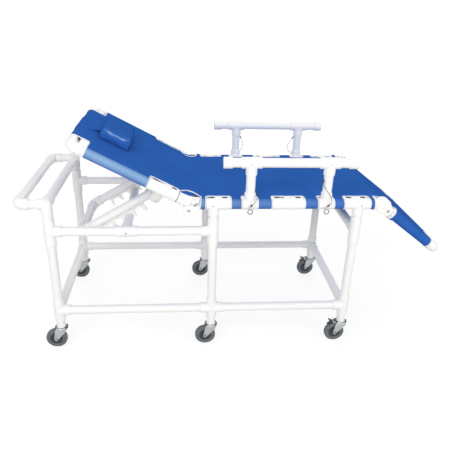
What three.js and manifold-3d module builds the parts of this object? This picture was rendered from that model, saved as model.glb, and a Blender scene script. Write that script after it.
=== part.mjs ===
// A reclining transport stretcher of white plastic pipe: six legs on swivelling wheels, a hinged back
// section on a toothed prop, a hinged leg section, two drop-down side rails and a blue slung deck.
// Millimetres, +Z up, +X towards the foot end, -Y the near side. The layout is measured from the floor
// and from the middle pair of legs, and the finished group is centred over the floor at the end.
import * as THREE from "three";
import { mergeVertices } from "three/addons/utils/BufferGeometryUtils.js";
import Module from "manifold-3d";

const wasm = await Module();
wasm.setup();

// Counts
const tubeSides = 8;
const boreSides = 6;
const discSides = 14;
const wheelSides = 18;
const bendSteps = 3;

// Clearances and overruns
const seatGap = 0.3;
const runningGap = 0.35;
const overrun = 1;
const weld = 1e-4;

// Pipe and the fittings glued on it
const pipeRadius = 21.1;
const pipeWall = 3.6;
const fittingRadius = 25.5;
const socketReach = 55;
const socketFloor = 22.5;
const elbowBend = 34;
const elbowSleeve = 20;

// Base frame
const trackHalf = 335;
const headLegX = -734;
const midLegX = 0;
const footLegX = 669.4;
const legBottomZ = 117.5;
const lowRailZ = 211.5;
const deckZ = 765.3;
const midRailDrop = 133;
const midRailZ = deckZ - midRailDrop;
const lowTeeHalf = 55;
const midTeeHalf = 66;
const handleReach = 124.7;

// Fittings on each deck rail, as stretches along it
const backHingeSleeve = { from: -60, to: -51 };
const midLegTee = { from: -33, to: 75 };
const braceTee = { from: 266, to: 412, at: 339, reach: 30 };
const footLegTee = { from: 601, to: 718 };
const footHingeSleeve = { from: 735, to: 783.5 };

// Back section, measured from its hinge pin: along the rail and square to it
const backPinDrop = 23.8;
const backPin = { x: -112, z: deckZ - backPinDrop };
const backAngle = THREE.MathUtils.degToRad(27.5);
const backRailRise = 28;
const backReach = 574;
const backHingeFitting = { from: 8, to: 71 };
const hangerTee = { from: 73, to: 213, at: 147.3, reach: 44 };
const hangerDrop = 74.2;

// Prop under the back, measured from its pivot bar
const propAngle = THREE.MathUtils.degToRad(30.6);
const propInset = 163;
const propHalf = trackHalf - propInset;
const propReach = 418;
const propTeeHalf = 27;
const propSocket = 48;
const restBarX = -395;
const restTeeHalf = 50;
const rack = { thickness: 8, start: 88, pitch: 57, notches: 4, engaged: 1, toothDepth: 20, freeSide: 6 };
const rackHandleDraft = THREE.MathUtils.degToRad(6);
const rackPivotDraft = THREE.MathUtils.degToRad(22);
const notchArcSteps = 7;

// Leg section, measured from its hinge pin
const footPinDrop = 27.8;
const footPin = { x: 805.8, z: deckZ - footPinDrop };
const legAngle = THREE.MathUtils.degToRad(36.5);
const legReach = 350;
const legHingeFitting = { from: 30, to: 52 };
const footBossDrop = 6.8;
const footBoss = { x: 783.5, z: deckZ - footBossDrop, radius: 36, half: 22 };

// Hinges
const hinge = { lugRadius: 26.5, tongueHalf: 9.5, cheekGap: 0.5, cheekHalf: 20, pinRadius: 5 };
const hingeHole = 5.6;
const pinHead = { radius: 9, thickness: 4 };
const lugClearance = 0.5;

// Side rails
const sideRailRise = 194.2;
const sideRailZ = deckZ + sideRailRise;
const sideRailFrom = 38;
const sideRailTo = 640;
const sidePostX = [163, 513];
const sideTeeHalf = 46;
const sideCap = 42;
const capFloor = 5;
const slipTeeHalf = 34;

// Detent pins and their lanyards
const detent = { radius: 3.5, hole: 4.1, height: -10, tip: 21.9, seat: 25.8 };
const detentHead = { radius: 7, length: 8.2 };
const pullRing = { radius: 11, wire: 1.4, bite: 1 };
const lanyardRadius = 1.2;
const lanyardSides = 8;
const lanyardSteps = 12;

// Sling
const sling = { thickness: 2.2, gap: 0.35, end: 1.5 };
const notchInset = 33;
const deepNotchInset = 54;
const cornerInset = 85;
const notchAt = trackHalf - notchInset;
const deepNotchAt = trackHalf - deepNotchInset;
const cornerAt = trackHalf - cornerInset;
const backSlingFrom = 42;
const backWrap = { from: 215, to: 510 };
const deckSling = { from: -112, to: 809 };
const legSlingFrom = -10;
const legWrap = { from: 54, to: legReach - elbowBend - elbowSleeve - sling.end };

// Head cushion: a crowned pad with drawn-in sides
const cushion = { length: 150, width: 272, height: 56, at: 416, drawnIn: 9, foot: 9 };
const cushionSteps = 10;

// Casters
const wheelRadius = 50.8;
const wheelWidth = 28;
const casterTrail = 28;
const tyre = { edge: 6, depth: 13, hubRadius: 14, hubHalf: 17.4, webHalf: 6 };
const axle = { radius: 5, hole: 5.6, nutRadius: 8.5, nutLength: 5 };
const fork = { plate: 3, gap: 1.2, topHalf: 24, footHalf: 11 };
const forkHead = { radius: 29, from: 105, to: 116.9 };
const stemLength = 52;
const brake = { eyeX: -37, eyeZ: 111.5, eyeRadius: 5, pin: 2.4, hole: 3, half: 11 };
const brakeShoe = { gap: 7.2, depth: 3.5 };
const brakeEar = { inner: 11.6, outer: 14.6, radius: 4.6, root: -22 };
const brakeTab = { length: 27, rise: 9, depth: 3.4 };
const shoeSweep = THREE.MathUtils.degToRad(52);
const shoeSteps = 6;

// Colours
const paint = (color, roughness, metalness = 0) =>
  new THREE.MeshStandardMaterial({ color, roughness, metalness });
const whitePipe = paint(0xf2f4f6, 0.35);
const rackWhite = paint(0xeceeee, 0.5);
const slingBlue = paint(0x2860b4, 0.7);
const cushionBlue = paint(0x2458ac, 0.4);
const zinc = paint(0xa9adaf, 0.38, 0.9);
const steel = paint(0xc3c7ca, 0.28, 1);
const tyreGrey = paint(0x4c5356, 0.75);
const cableDark = paint(0x3a3532, 0.45);

// Solids
function solidFrom(geometry) {
  const bare = geometry.index ? geometry.clone() : mergeVertices(geometry.clone(), 0);
  bare.deleteAttribute("normal");
  bare.deleteAttribute("uv");
  const merged = mergeVertices(bare, weld);
  return new wasm.Manifold(
    new wasm.Mesh({
      numProp: 3,
      vertProperties: new Float32Array(merged.attributes.position.array),
      triVerts: new Uint32Array(merged.index.array),
    }),
  );
}

function geometryFrom(solid) {
  const mesh = solid.getMesh();
  const geometry = new THREE.BufferGeometry();
  geometry.setAttribute("position", new THREE.BufferAttribute(mesh.vertProperties, mesh.numProp));
  geometry.setIndex(new THREE.BufferAttribute(mesh.triVerts, 1));
  geometry.computeVertexNormals();
  return geometry;
}

const joined = (solids) => solids.reduce((whole, next) => whole.add(next));
const carved = (solids, cuts) => joined(solids).subtract(joined(cuts));

function rod(from, to, radius, sides = tubeSides, turned = 0) {
  const start = new THREE.Vector3(...from);
  const run = new THREE.Vector3(...to).sub(start);
  const geometry = new THREE.CylinderGeometry(radius, radius, run.length(), sides, 1, false, turned);
  const turn = new THREE.Quaternion().setFromUnitVectors(THREE.Object3D.DEFAULT_UP, run.clone().normalize());
  geometry.applyQuaternion(turn);
  geometry.translate(...start.addScaledVector(run, 1 / 2).toArray());
  return solidFrom(geometry);
}

function block(low, high) {
  const size = high.map((value, i) => value - low[i]);
  const geometry = new THREE.BoxGeometry(...size);
  geometry.translate(...low.map((value, i) => value + size[i] / 2));
  return solidFrom(geometry);
}

// A plate drawn in the XZ plane and given its thickness along Y.
function plate(points, fromY, toY) {
  const shape = new THREE.Shape(points.map(([x, z]) => new THREE.Vector2(x, z)));
  const geometry = new THREE.ExtrudeGeometry(shape, { depth: toY - fromY, bevelEnabled: false });
  geometry.rotateX(Math.PI / 2);
  geometry.translate(0, toY, 0);
  return solidFrom(geometry);
}

function arcPoints(centre, radius, fromAngle, toAngle, steps) {
  return Array.from({ length: steps + 1 }, (_, i) => {
    const angle = fromAngle + ((toAngle - fromAngle) * i) / steps;
    return [centre[0] + radius * Math.cos(angle), centre[1] + radius * Math.sin(angle)];
  });
}

// A tube bent round a corner: it runs from one arm to the other with the given centreline radius.
function bend(corner, armA, armB, radius, sides = tubeSides) {
  const at = new THREE.Vector3(...corner);
  const a = new THREE.Vector3(...armA).normalize();
  const b = new THREE.Vector3(...armB).normalize();
  const setback = elbowBend / Math.tan(a.angleTo(b) / 2);
  const start = at.clone().addScaledVector(a, setback);
  const end = at.clone().addScaledVector(b, setback);
  const inward = a.clone().add(b).normalize();
  const centre = at.clone().addScaledVector(inward, elbowBend / Math.sin(a.angleTo(b) / 2));
  const from = start.clone().sub(centre);
  const sweep = from.angleTo(end.clone().sub(centre));
  const across = new THREE.Vector3().crossVectors(from, end.clone().sub(centre)).normalize();
  const path = new THREE.Curve();
  path.getPoint = (t, target = new THREE.Vector3()) =>
    target.copy(from).applyAxisAngle(across, sweep * t).add(centre);
  const ring = Array.from({ length: sides }, (_, i) => {
    const angle = (2 * Math.PI * i) / sides;
    return new THREE.Vector2(radius * Math.cos(angle), radius * Math.sin(angle));
  });
  const swept = new THREE.ExtrudeGeometry(new THREE.Shape(ring), { steps: bendSteps, extrudePath: path });
  return solidFrom(swept);
}

const add = (a, b, share = 1) => a.map((value, i) => value + b[i] * share);
const bore = pipeRadius - pipeWall;
const socketRadius = pipeRadius + seatGap;
const stemRadius = bore * Math.cos(Math.PI / boreSides) - runningGap;
const runningRadius = (pipeRadius + runningGap) / Math.cos(Math.PI / tubeSides);

// A bore that turns on a pipe: its flats face the pipe's edges.
const runningBore = (from, to) => rod(from, to, runningRadius, tubeSides, Math.PI / tubeSides);

// The outside and the inside of one pipe run, so that runs can be joined before they are hollowed.
const pipeRun = (from, to) => ({
  outer: [rod(from, to, pipeRadius)],
  inner: [rod(from, to, bore, boreSides)],
});

// An elbow with its two sleeves at a corner of a frame.
function elbow(corner, armA, armB) {
  const length = elbowBend + elbowSleeve;
  const sleeves = [armA, armB].map((arm) =>
    rod(add(corner, arm, elbowBend), add(corner, arm, length), fittingRadius),
  );
  return {
    outer: [bend(corner, armA, armB, fittingRadius), ...sleeves],
    inner: [bend(corner, armA, armB, bore, boreSides)],
  };
}

// A socket that stands off a fitting and holds the end of a pipe.
function socket(at, direction, reach = socketReach) {
  return {
    outer: [rod(at, add(at, direction, reach), fittingRadius)],
    inner: [rod(add(at, direction, socketFloor), add(at, direction, reach + overrun), socketRadius)],
  };
}

const gather = (...sets) => ({
  outer: sets.flatMap((set) => set.outer),
  inner: sets.flatMap((set) => set.inner),
});
const made = ({ outer, inner }) => carved(outer, inner);
const cutOnly = (...inner) => ({ outer: [], inner });
const solidOnly = (...outer) => ({ outer, inner: [] });

const sides = [
  { name: "near", sign: -1 },
  { name: "far", sign: 1 },
];
const UP = [0, 0, 1];
const DOWN = [0, 0, -1];
const FORWARD = [1, 0, 0];
const BACK = [-1, 0, 0];
const inwards = (sign) => [0, -sign, 0];

const stretcher = new THREE.Group();

function place(name, solid, material, parent = stretcher) {
  const mesh = new THREE.Mesh(geometryFrom(solid), material);
  mesh.name = name;
  parent.add(mesh);
  return mesh;
}

// Base frame: legs with their glued tees
function leg(x, sign, topZ, tees) {
  const y = sign * trackHalf;
  const post = pipeRun([x, y, legBottomZ], [x, y, topZ]);
  post.inner = [rod([x, y, legBottomZ - overrun], [x, y, topZ + overrun], bore, boreSides)];
  const fittings = tees.map(({ z, half, arms, through }) =>
    gather(
      solidOnly(rod([x, y, z - half], [x, y, z + half], fittingRadius)),
      ...arms.map((arm) => socket([x, y, z], arm)),
      through ? cutOnly(rod([x - socketReach, y, z], [x + socketReach, y, z], socketRadius)) : gather(),
    ),
  );
  return made(gather(post, ...fittings));
}

const postTop = deckZ - socketFloor - overrun;

for (const { name, sign } of sides) {
  const inner = inwards(sign);
  const low = { z: lowRailZ, half: lowTeeHalf };
  const mid = { z: midRailZ, half: midTeeHalf };
  const head = leg(headLegX, sign, postTop, [
    { ...low, arms: [FORWARD, inner] },
    { ...mid, arms: [FORWARD] },
  ]);
  const middle = leg(midLegX, sign, postTop, [
    { ...low, arms: [FORWARD, BACK], through: true },
    { ...mid, arms: [BACK] },
  ]);
  const foot = leg(footLegX, sign, postTop, [
    { ...low, arms: [BACK, inner] },
    { ...mid, arms: [inner] },
  ]);
  place("head_leg_" + name, head, whitePipe);
  place("mid_leg_" + name, middle, whitePipe);
  place("foot_leg_" + name, foot, whitePipe);
}

// Base frame: rails and crossbars
const seat = socketFloor + overrun;
function openPipe(from, to, along) {
  const hollow = rod(add(from, along, -overrun), add(to, along, overrun), bore, boreSides);
  return carved([rod(from, to, pipeRadius)], [hollow]);
}
const crossbar = (x, z, half) => openPipe([x, -half, z], [x, half, z], [0, 1, 0]);

for (const { name, sign } of sides) {
  const y = sign * trackHalf;
  const lowRail = openPipe([headLegX + seat, y, lowRailZ], [footLegX - seat, y, lowRailZ], FORWARD);
  const atMid = (x) => [x, y, midRailZ];
  const midRail = made(
    gather(
      solidOnly(
        rod(atMid(headLegX + seat), atMid(midLegX - seat), pipeRadius),
        rod(atMid(restBarX - restTeeHalf), atMid(restBarX + restTeeHalf), fittingRadius),
      ),
      cutOnly(rod(atMid(headLegX), atMid(midLegX), bore, boreSides)),
      socket(atMid(restBarX), inwards(sign)),
    ),
  );
  place("low_rail_" + name, lowRail, whitePipe);
  place("mid_rail_" + name, midRail, whitePipe);
}

const crossHalf = trackHalf - seat;
place("low_crossbar_head", crossbar(headLegX, lowRailZ, crossHalf), whitePipe);
place("low_crossbar_foot", crossbar(footLegX, lowRailZ, crossHalf), whitePipe);
place("mid_crossbar_foot", crossbar(footLegX, midRailZ, crossHalf), whitePipe);
place("prop_rest_bar", crossbar(restBarX, midRailZ, crossHalf), whitePipe);
place("deck_crossbar", crossbar(braceTee.at, deckZ, crossHalf), whitePipe);

// Push handle: a level loop on the head posts, with a second bar between the posts
function pushHandle() {
  const gripX = headLegX - handleReach;
  const parts = sides.flatMap(({ sign }) => {
    const y = sign * trackHalf;
    const corner = [headLegX, y, deckZ];
    const grip = [gripX, y, deckZ];
    const inner = inwards(sign);
    const ball = new THREE.SphereGeometry(fittingRadius, tubeSides, tubeSides / 2).translate(...corner);
    return [
      pipeRun(corner, add(grip, FORWARD, elbowBend)),
      elbow(grip, FORWARD, inner),
      solidOnly(
        solidFrom(ball),
        rod(corner, add(corner, BACK, elbowSleeve + elbowBend / 2), fittingRadius),
        rod(corner, add(corner, inner, socketReach), fittingRadius),
      ),
      socket(corner, DOWN),
      cutOnly(rod(corner, add(corner, DOWN, socketReach), bore, boreSides)),
    ];
  });
  const gripHalf = trackHalf - elbowBend;
  const bars = [
    pipeRun([gripX, -gripHalf, deckZ], [gripX, gripHalf, deckZ]),
    pipeRun([headLegX, -trackHalf, deckZ], [headLegX, trackHalf, deckZ]),
  ];
  return made(gather(...parts, ...bars));
}
place("push_handle", pushHandle(), whitePipe);

// Deck rails: pipe, tees for the legs and the cross brace, and the fixed halves of both hinges
const lugDisc = (pin, y, fromY, toY, radius) =>
  rod([pin.x, y + fromY, pin.z], [pin.x, y + toY, pin.z], radius, discSides);
const pinHole = (pin, y) => rod([pin.x, y - trackHalf, pin.z], [pin.x, y + trackHalf, pin.z], hingeHole);

function deckRail(sign) {
  const y = sign * trackHalf;
  const inner = inwards(sign);
  const onRail = ({ from, to }) => rod([from, y, deckZ], [to, y, deckZ], fittingRadius);
  const cheekFrom = hinge.tongueHalf + hinge.cheekGap;
  const toSleeve = backHingeSleeve.from - backPin.x;
  const toRail = deckZ - backPin.z;
  const cheekTopShare = 0.33;
  const cheekLowShare = 0.94;
  const cheekOutline = [
    [0, -hinge.lugRadius],
    [toSleeve, toRail - pipeRadius * cheekLowShare],
    [backHingeSleeve.to - backPin.x, toRail],
    [toSleeve, hinge.lugRadius * cheekTopShare],
    [0, hinge.lugRadius * cheekTopShare],
  ].map(([x, z]) => [backPin.x + x, backPin.z + z]);
  const cheeks = [-1, 1].flatMap((way) => {
    const [low, high] = [way * cheekFrom, way * hinge.cheekHalf].sort((a, b) => a - b);
    return [
      lugDisc(backPin, y, low, high, hinge.lugRadius),
      plate(cheekOutline, y + low, y + high),
    ];
  });
  const footCheeks = [-1, 1].map((way) => {
    const [low, high] = [way * cheekFrom, way * hinge.cheekHalf].sort((a, b) => a - b);
    return lugDisc(footPin, y, low, high, hinge.lugRadius);
  });
  const boss = lugDisc(footBoss, y, -footBoss.half, footBoss.half, footBoss.radius);
  const slotHalf = hinge.tongueHalf + hinge.cheekGap;
  const slot = lugDisc(footPin, y, -slotHalf, slotHalf, hinge.lugRadius + 2 * lugClearance);
  return made(
    gather(
      pipeRun([backHingeSleeve.from, y, deckZ], [footBoss.x - footBoss.radius, y, deckZ]),
      solidOnly(...[backHingeSleeve, midLegTee, braceTee, footLegTee, footHingeSleeve].map(onRail)),
      solidOnly(...cheeks, ...footCheeks, boss),
      cutOnly(rod([backPin.x, y, deckZ], [midLegX, y, deckZ], bore, boreSides)),
      cutOnly(slot, pinHole(backPin, y), pinHole(footPin, y)),
      socket([midLegX, y, deckZ], DOWN),
      socket([footLegX, y, deckZ], DOWN),
      socket([braceTee.at, y, deckZ], inner, braceTee.reach),
    ),
  );
}

function hingePin(pin, sign, half) {
  const y = sign * trackHalf;
  const seatAt = half + seatGap;
  const headAt = seatAt + pinHead.thickness;
  return joined([
    rod([pin.x, y - headAt, pin.z], [pin.x, y + headAt, pin.z], hinge.pinRadius),
    ...[-1, 1].map((way) =>
      rod([pin.x, y + way * seatAt, pin.z], [pin.x, y + way * headAt, pin.z], pinHead.radius),
    ),
  ]);
}

for (const { name, sign } of sides) {
  place("deck_rail_" + name, deckRail(sign), whitePipe);
  place("back_hinge_bolt_" + name, hingePin(backPin, sign, hinge.cheekHalf), steel);
  place("foot_hinge_bolt_" + name, hingePin(footPin, sign, footBoss.half), steel);
}

// Back section in its own group: the rails run along -X from the hinge pin
const back = new THREE.Group();
back.position.set(backPin.x, 0, backPin.z);
back.rotation.y = backAngle;
stretcher.add(back);

const pinOrigin = { x: 0, z: 0 };

// A U of two rails and an end bar, hung on tongues at the hinge pins. way is -1 towards the head.
function swingFrame({ way, rise, reach, fitting, tongue, extras }) {
  const alongRail = [way, 0, 0];
  const ends = sides.flatMap(({ sign }) => {
    const y = sign * trackHalf;
    const corner = [way * reach, y, rise];
    const inner = inwards(sign);
    const start = [way * fitting.from, y, rise];
    const cheekFrom = hinge.tongueHalf;
    const lugRoom = hinge.lugRadius + 2 * lugClearance;
    const room = [-1, 1].map((side) => {
      const [low, high] = [side * cheekFrom, side * (fittingRadius + overrun)].sort((a, b) => a - b);
      return lugDisc(pinOrigin, y, low, high, lugRoom);
    });
    const sleeve = rod(start, [way * fitting.to, y, rise], fittingRadius);
    const lug = lugDisc(pinOrigin, y, -hinge.tongueHalf, hinge.tongueHalf, hinge.lugRadius);
    const web = plate(tongue, y - hinge.tongueHalf, y + hinge.tongueHalf);
    const outside = carved([sleeve, rod(start, add(corner, alongRail, -elbowBend), pipeRadius)], room);
    const mouth = add(start, alongRail, -overrun);
    return [
      solidOnly(outside, lug, web),
      cutOnly(rod(mouth, add(corner, alongRail, -elbowBend), bore, boreSides), pinHole(pinOrigin, y)),
      elbow(corner, [-way, 0, 0], inner),
      ...extras(y, inner),
    ];
  });
  const half = trackHalf - elbowBend;
  const bar = pipeRun([way * reach, -half, rise], [way * reach, half, rise]);
  return made(gather(...ends, bar));
}

const slope = Math.SQRT1_2;
const backTongueShares = { nose: 0.7, brow: 0.6, tail: 0.6 };
const backTongueTail = -backHingeFitting.to * backTongueShares.tail;
const backTongueTop = backRailRise + fittingRadius - overrun;
const backTongue = [
  [-hinge.lugRadius, 0],
  [0, -hinge.lugRadius],
  [hinge.lugRadius, 0],
  [hinge.lugRadius * backTongueShares.nose, backRailRise + fittingRadius * backTongueShares.brow],
  [0, backTongueTop],
  [backTongueTail, backTongueTop],
  [backTongueTail, backRailRise - pipeRadius],
].reverse();

const backFrame = swingFrame({
  way: -1,
  rise: backRailRise,
  reach: backReach,
  fitting: backHingeFitting,
  tongue: backTongue,
  extras: (y, inner) => {
    const at = [-hangerTee.at, y, backRailRise];
    const branch = [0, inner[1] * slope, -slope];
    return [
      solidOnly(rod([-hangerTee.from, y, backRailRise], [-hangerTee.to, y, backRailRise], fittingRadius)),
      socket(at, branch, hangerTee.reach),
    ];
  },
});
place("back_frame", backFrame, whitePipe, back);

// The bar that carries the prop, bent up at both ends into the hanger tees
const hangerZ = backRailRise - hangerDrop;
function hangerBar() {
  const parts = sides.flatMap(({ sign }) => {
    const inner = inwards(sign);
    const corner = [-hangerTee.at, sign * (trackHalf - hangerDrop), hangerZ];
    const branch = [0, -inner[1] * slope, slope];
    const railPoint = [-hangerTee.at, sign * trackHalf, backRailRise];
    const plugEnd = add(railPoint, branch, -(socketFloor + overrun));
    return [
      rod(corner, plugEnd, pipeRadius),
      rod(corner, add(plugEnd, branch, -(hangerTee.reach - socketFloor + seatGap)), fittingRadius),
      rod(corner, add(corner, inner, elbowSleeve), fittingRadius),
      solidFrom(new THREE.SphereGeometry(fittingRadius, tubeSides, tubeSides / 2).translate(...corner)),
    ];
  });
  const half = trackHalf - hangerDrop;
  const bar = rod([-hangerTee.at, -half, hangerZ], [-hangerTee.at, half, hangerZ], pipeRadius);
  const throughBore = rod([-hangerTee.at, -half, hangerZ], [-hangerTee.at, half, hangerZ], bore, boreSides);
  const mouths = sides.map(({ sign }) => {
    const corner = [-hangerTee.at, sign * half, hangerZ];
    const rail = [-hangerTee.at, sign * (trackHalf - overrun), backRailRise];
    return rod(corner, rail, bore, boreSides);
  });
  return carved([bar, ...parts], [throughBore, ...mouths]);
}
place("prop_hanger_bar", hangerBar(), whitePipe, back);

// Prop in its own group: the arms run along -X from the hanger bar
const prop = new THREE.Group();
prop.position.set(-hangerTee.at, 0, hangerZ);
prop.rotation.y = -(propAngle + backAngle);
back.add(prop);

function propFrame() {
  const arms = sides.flatMap(({ sign }) => {
    const y = sign * propHalf;
    const corner = [-propReach, y, 0];
    const start = [-socketFloor, y, 0];
    return [
      solidOnly(
        rod([0, y - propTeeHalf, 0], [0, y + propTeeHalf, 0], fittingRadius),
        rod([0, y, 0], [-propSocket, y, 0], fittingRadius),
      ),
      pipeRun(start, add(corner, FORWARD, elbowBend)),
      elbow(corner, FORWARD, inwards(sign)),
      cutOnly(
        runningBore([0, y - propTeeHalf - overrun, 0], [0, y + propTeeHalf + overrun, 0]),
        rod([0, y, 0], start, bore, boreSides),
      ),
    ];
  });
  const half = propHalf - elbowBend;
  return made(gather(...arms, pipeRun([-propReach, -half, 0], [-propReach, half, 0])));
}
place("prop_frame", propFrame(), whitePipe, prop);

// Toothed racks: each notch seats the rest bar, with both walls sloped so that the bar leaves freely
stretcher.updateMatrixWorld(true);
const restBarInProp = prop.worldToLocal(new THREE.Vector3(restBarX, 0, midRailZ));

function rackPlate(y) {
  const notchRadius = (pipeRadius + runningGap) / Math.cos(Math.PI / notchArcSteps / 2);
  const notchZ = restBarInProp.z;
  const tipZ = notchZ - rack.toothDepth;
  const engagedAt = restBarInProp.x;
  const halfMouth = (draft) => notchRadius / Math.cos(draft) + rack.toothDepth * Math.tan(draft);
  const toPivot = halfMouth(rackPivotDraft);
  const toHandle = halfMouth(rackHandleDraft);
  const points = [[-rack.start, -pipeRadius - seatGap]];
  points.push([-rack.start, tipZ]);
  for (let i = 0; i < rack.notches; i += 1) {
    const at = engagedAt - (i - rack.engaged) * rack.pitch;
    points.push([at + toPivot, tipZ]);
    const seatEnds = [rackPivotDraft, Math.PI - rackHandleDraft];
    points.push(...arcPoints([at, notchZ], notchRadius, ...seatEnds, notchArcSteps));
    points.push([at - toHandle, tipZ]);
  }
  const last = engagedAt - (rack.notches - 1 - rack.engaged) * rack.pitch - toHandle;
  points.push([last - rack.freeSide, tipZ]);
  points.push([last - rack.freeSide, -pipeRadius - seatGap]);
  return plate(points.reverse(), y - rack.thickness / 2, y + rack.thickness / 2);
}
for (const { name, sign } of sides) {
  place("prop_rack_" + name, rackPlate(sign * propHalf), rackWhite, prop);
}

// Leg section in its own group: the rails run along +X from the hinge pin
const legRest = new THREE.Group();
legRest.position.set(footPin.x, 0, footPin.z);
legRest.rotation.y = legAngle;
stretcher.add(legRest);

const legTongue = [
  [0, -pipeRadius],
  [legHingeFitting.to, -pipeRadius],
  [legHingeFitting.to, pipeRadius],
  [0, pipeRadius],
];
const legFrame = swingFrame({
  way: 1,
  rise: 0,
  reach: legReach,
  fitting: legHingeFitting,
  tongue: legTongue,
  extras: () => [],
});
place("leg_frame", legFrame, whitePipe, legRest);

// Side rails: a hand bar on two posts, each post turning on the deck rail in a slip tee
function sideBar(sign) {
  const y = sign * trackHalf;
  const onBar = (from, to, radius) => rod([from, y, sideRailZ], [to, y, sideRailZ], radius);
  const tees = sidePostX.map((x) =>
    gather(
      solidOnly(onBar(x - sideTeeHalf, x + sideTeeHalf, fittingRadius)),
      socket([x, y, sideRailZ], DOWN),
      cutOnly(rod([x, y, sideRailZ], [x, y, sideRailZ - socketReach], bore, boreSides)),
    ),
  );
  const caps = solidOnly(
    onBar(sideRailFrom, sideRailFrom + sideCap, fittingRadius),
    onBar(sideRailTo - sideCap, sideRailTo, fittingRadius),
  );
  const run = solidOnly(onBar(sideRailFrom, sideRailTo, pipeRadius));
  const inside = [sideRailFrom + capFloor, sideRailTo - capFloor].map((x) => [x, y, sideRailZ]);
  return made(gather(run, caps, cutOnly(rod(...inside, bore, boreSides)), ...tees));
}

function sidePost(x, sign) {
  const y = sign * trackHalf;
  const top = sideRailZ - socketFloor - overrun;
  const pinZ = deckZ + detent.height;
  return made(
    gather(
      solidOnly(
        rod([x - slipTeeHalf, y, deckZ], [x + slipTeeHalf, y, deckZ], fittingRadius),
        rod([x, y, deckZ], [x, y, deckZ + socketReach], fittingRadius),
        rod([x, y, deckZ], [x, y, top], pipeRadius),
      ),
      cutOnly(
        runningBore([x - slipTeeHalf - overrun, y, deckZ], [x + slipTeeHalf + overrun, y, deckZ]),
        rod([x, y, deckZ], [x, y, top + overrun], bore, boreSides),
        rod([x, y, pinZ], [x, y + sign * (fittingRadius + overrun), pinZ], detent.hole),
      ),
    ),
  );
}

function detentPin(x, sign) {
  const z = deckZ + detent.height;
  const at = (distance) => [x, sign * (trackHalf + distance), z];
  const headEnd = detent.seat + detentHead.length;
  const ring = new THREE.TorusGeometry(pullRing.radius, pullRing.wire, boreSides, tubeSides);
  ring.rotateX(Math.PI / 2);
  const ringY = sign * (trackHalf + detent.seat + detentHead.length / 2);
  ring.translate(x, ringY, z - detentHead.radius + pullRing.bite - pullRing.radius);
  return joined([
    rod(at(detent.tip), at(headEnd), detent.radius),
    rod(at(detent.seat), at(headEnd), detentHead.radius),
    solidFrom(ring),
  ]);
}

// Lanyard routes from the post down to the head of the pin: along the rail from the post's middle,
// outwards from the rail's middle, and up from it
const lanyardRoutes = {
  head_near: [
    [22.6, -4, 66], [27.5, 6, 58], [29.5, 18, 46], [25, 30, 31],
    [15, 36, 16], [5, 34.5, 7], [0, 31, -1.5],
  ],
  foot_near: [
    [-22.7, 4, 122], [-25, 14, 106], [-16, 29, 84], [0, 35, 62],
    [13, 37, 40], [16, 37, 21], [8, 35, 8], [0, 31, -1.5],
  ],
  head_far: [
    [22.7, 0, 134], [31, 1, 117], [40, 3, 96], [40, 8, 74],
    [34, 17, 53], [24, 28, 33], [11, 34, 14], [0, 31, -1.5],
  ],
  foot_far: [
    [-22.7, 0, 134], [-34, 1, 112], [-48, 3, 89], [-52, 7, 68],
    [-42, 16, 47], [-23, 29, 27], [-8, 34, 11], [0, 31, -1.5],
  ],
};

function lanyard(route, x, sign) {
  const points = route.map(
    ([along, out, up]) => new THREE.Vector3(x + along, sign * (trackHalf + out), deckZ + up),
  );
  const ring = Array.from({ length: lanyardSides }, (_, i) => {
    const angle = (2 * Math.PI * i) / lanyardSides;
    return new THREE.Vector2(lanyardRadius * Math.cos(angle), lanyardRadius * Math.sin(angle));
  });
  const path = new THREE.CatmullRomCurve3(points);
  return solidFrom(
    new THREE.ExtrudeGeometry(new THREE.Shape(ring), { steps: lanyardSteps, extrudePath: path }),
  );
}

const postNames = ["head", "foot"];
for (const { name, sign } of sides) {
  place("side_rail_bar_" + name, sideBar(sign), whitePipe);
  sidePostX.forEach((x, i) => {
    const label = postNames[i] + "_" + name;
    place("side_post_" + label, sidePost(x, sign), whitePipe);
    place("detent_pin_" + label, detentPin(x, sign), steel);
    place("lanyard_" + label, lanyard(lanyardRoutes[label], x, sign), cableDark);
  });
}

// Sling: a sheet stretched over the rails, with a sleeve round them between the fittings
const sleeveInner = pipeRadius + sling.gap;
const sleeveOuter = sleeveInner + sling.thickness;

// way is the direction of the rails; stretches are distances along them, rise is the rails' height.
function slingSheet({ way, rise, from, to, wraps, notches, endWrap }) {
  const low = rise + sleeveInner;
  const high = rise + sleeveOuter;
  const span = (a, b) => [Math.min(way * a, way * b), Math.max(way * a, way * b)];
  const [x0, x1] = span(from, to);
  const sheet = block([x0, -trackHalf, low], [x1, trackHalf, high]);
  const tubes = [];
  const cuts = [];
  for (const { sign } of sides) {
    for (const wrap of wraps) {
      const [a, b] = span(wrap.from, wrap.to);
      const y = sign * trackHalf;
      tubes.push(rod([a, y, rise], [b, y, rise], sleeveOuter));
      cuts.push(rod([a - overrun, y, rise], [b + overrun, y, rise], sleeveInner));
    }
    for (const notch of notches) {
      const [a, b] = span(notch.from, notch.to);
      const edge = [sign * notch.at, sign * (trackHalf + fittingRadius)].sort((p, q) => p - q);
      cuts.push(block([a, edge[0], low - overrun], [b, edge[1], high + overrun]));
    }
  }
  if (endWrap) {
    const x = way * to;
    tubes.push(rod([x, -cornerAt, rise], [x, cornerAt, rise], sleeveOuter));
    cuts.push(rod([x, -trackHalf, rise], [x, trackHalf, rise], sleeveInner));
  }
  return carved([sheet, ...tubes], cuts);
}

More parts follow.
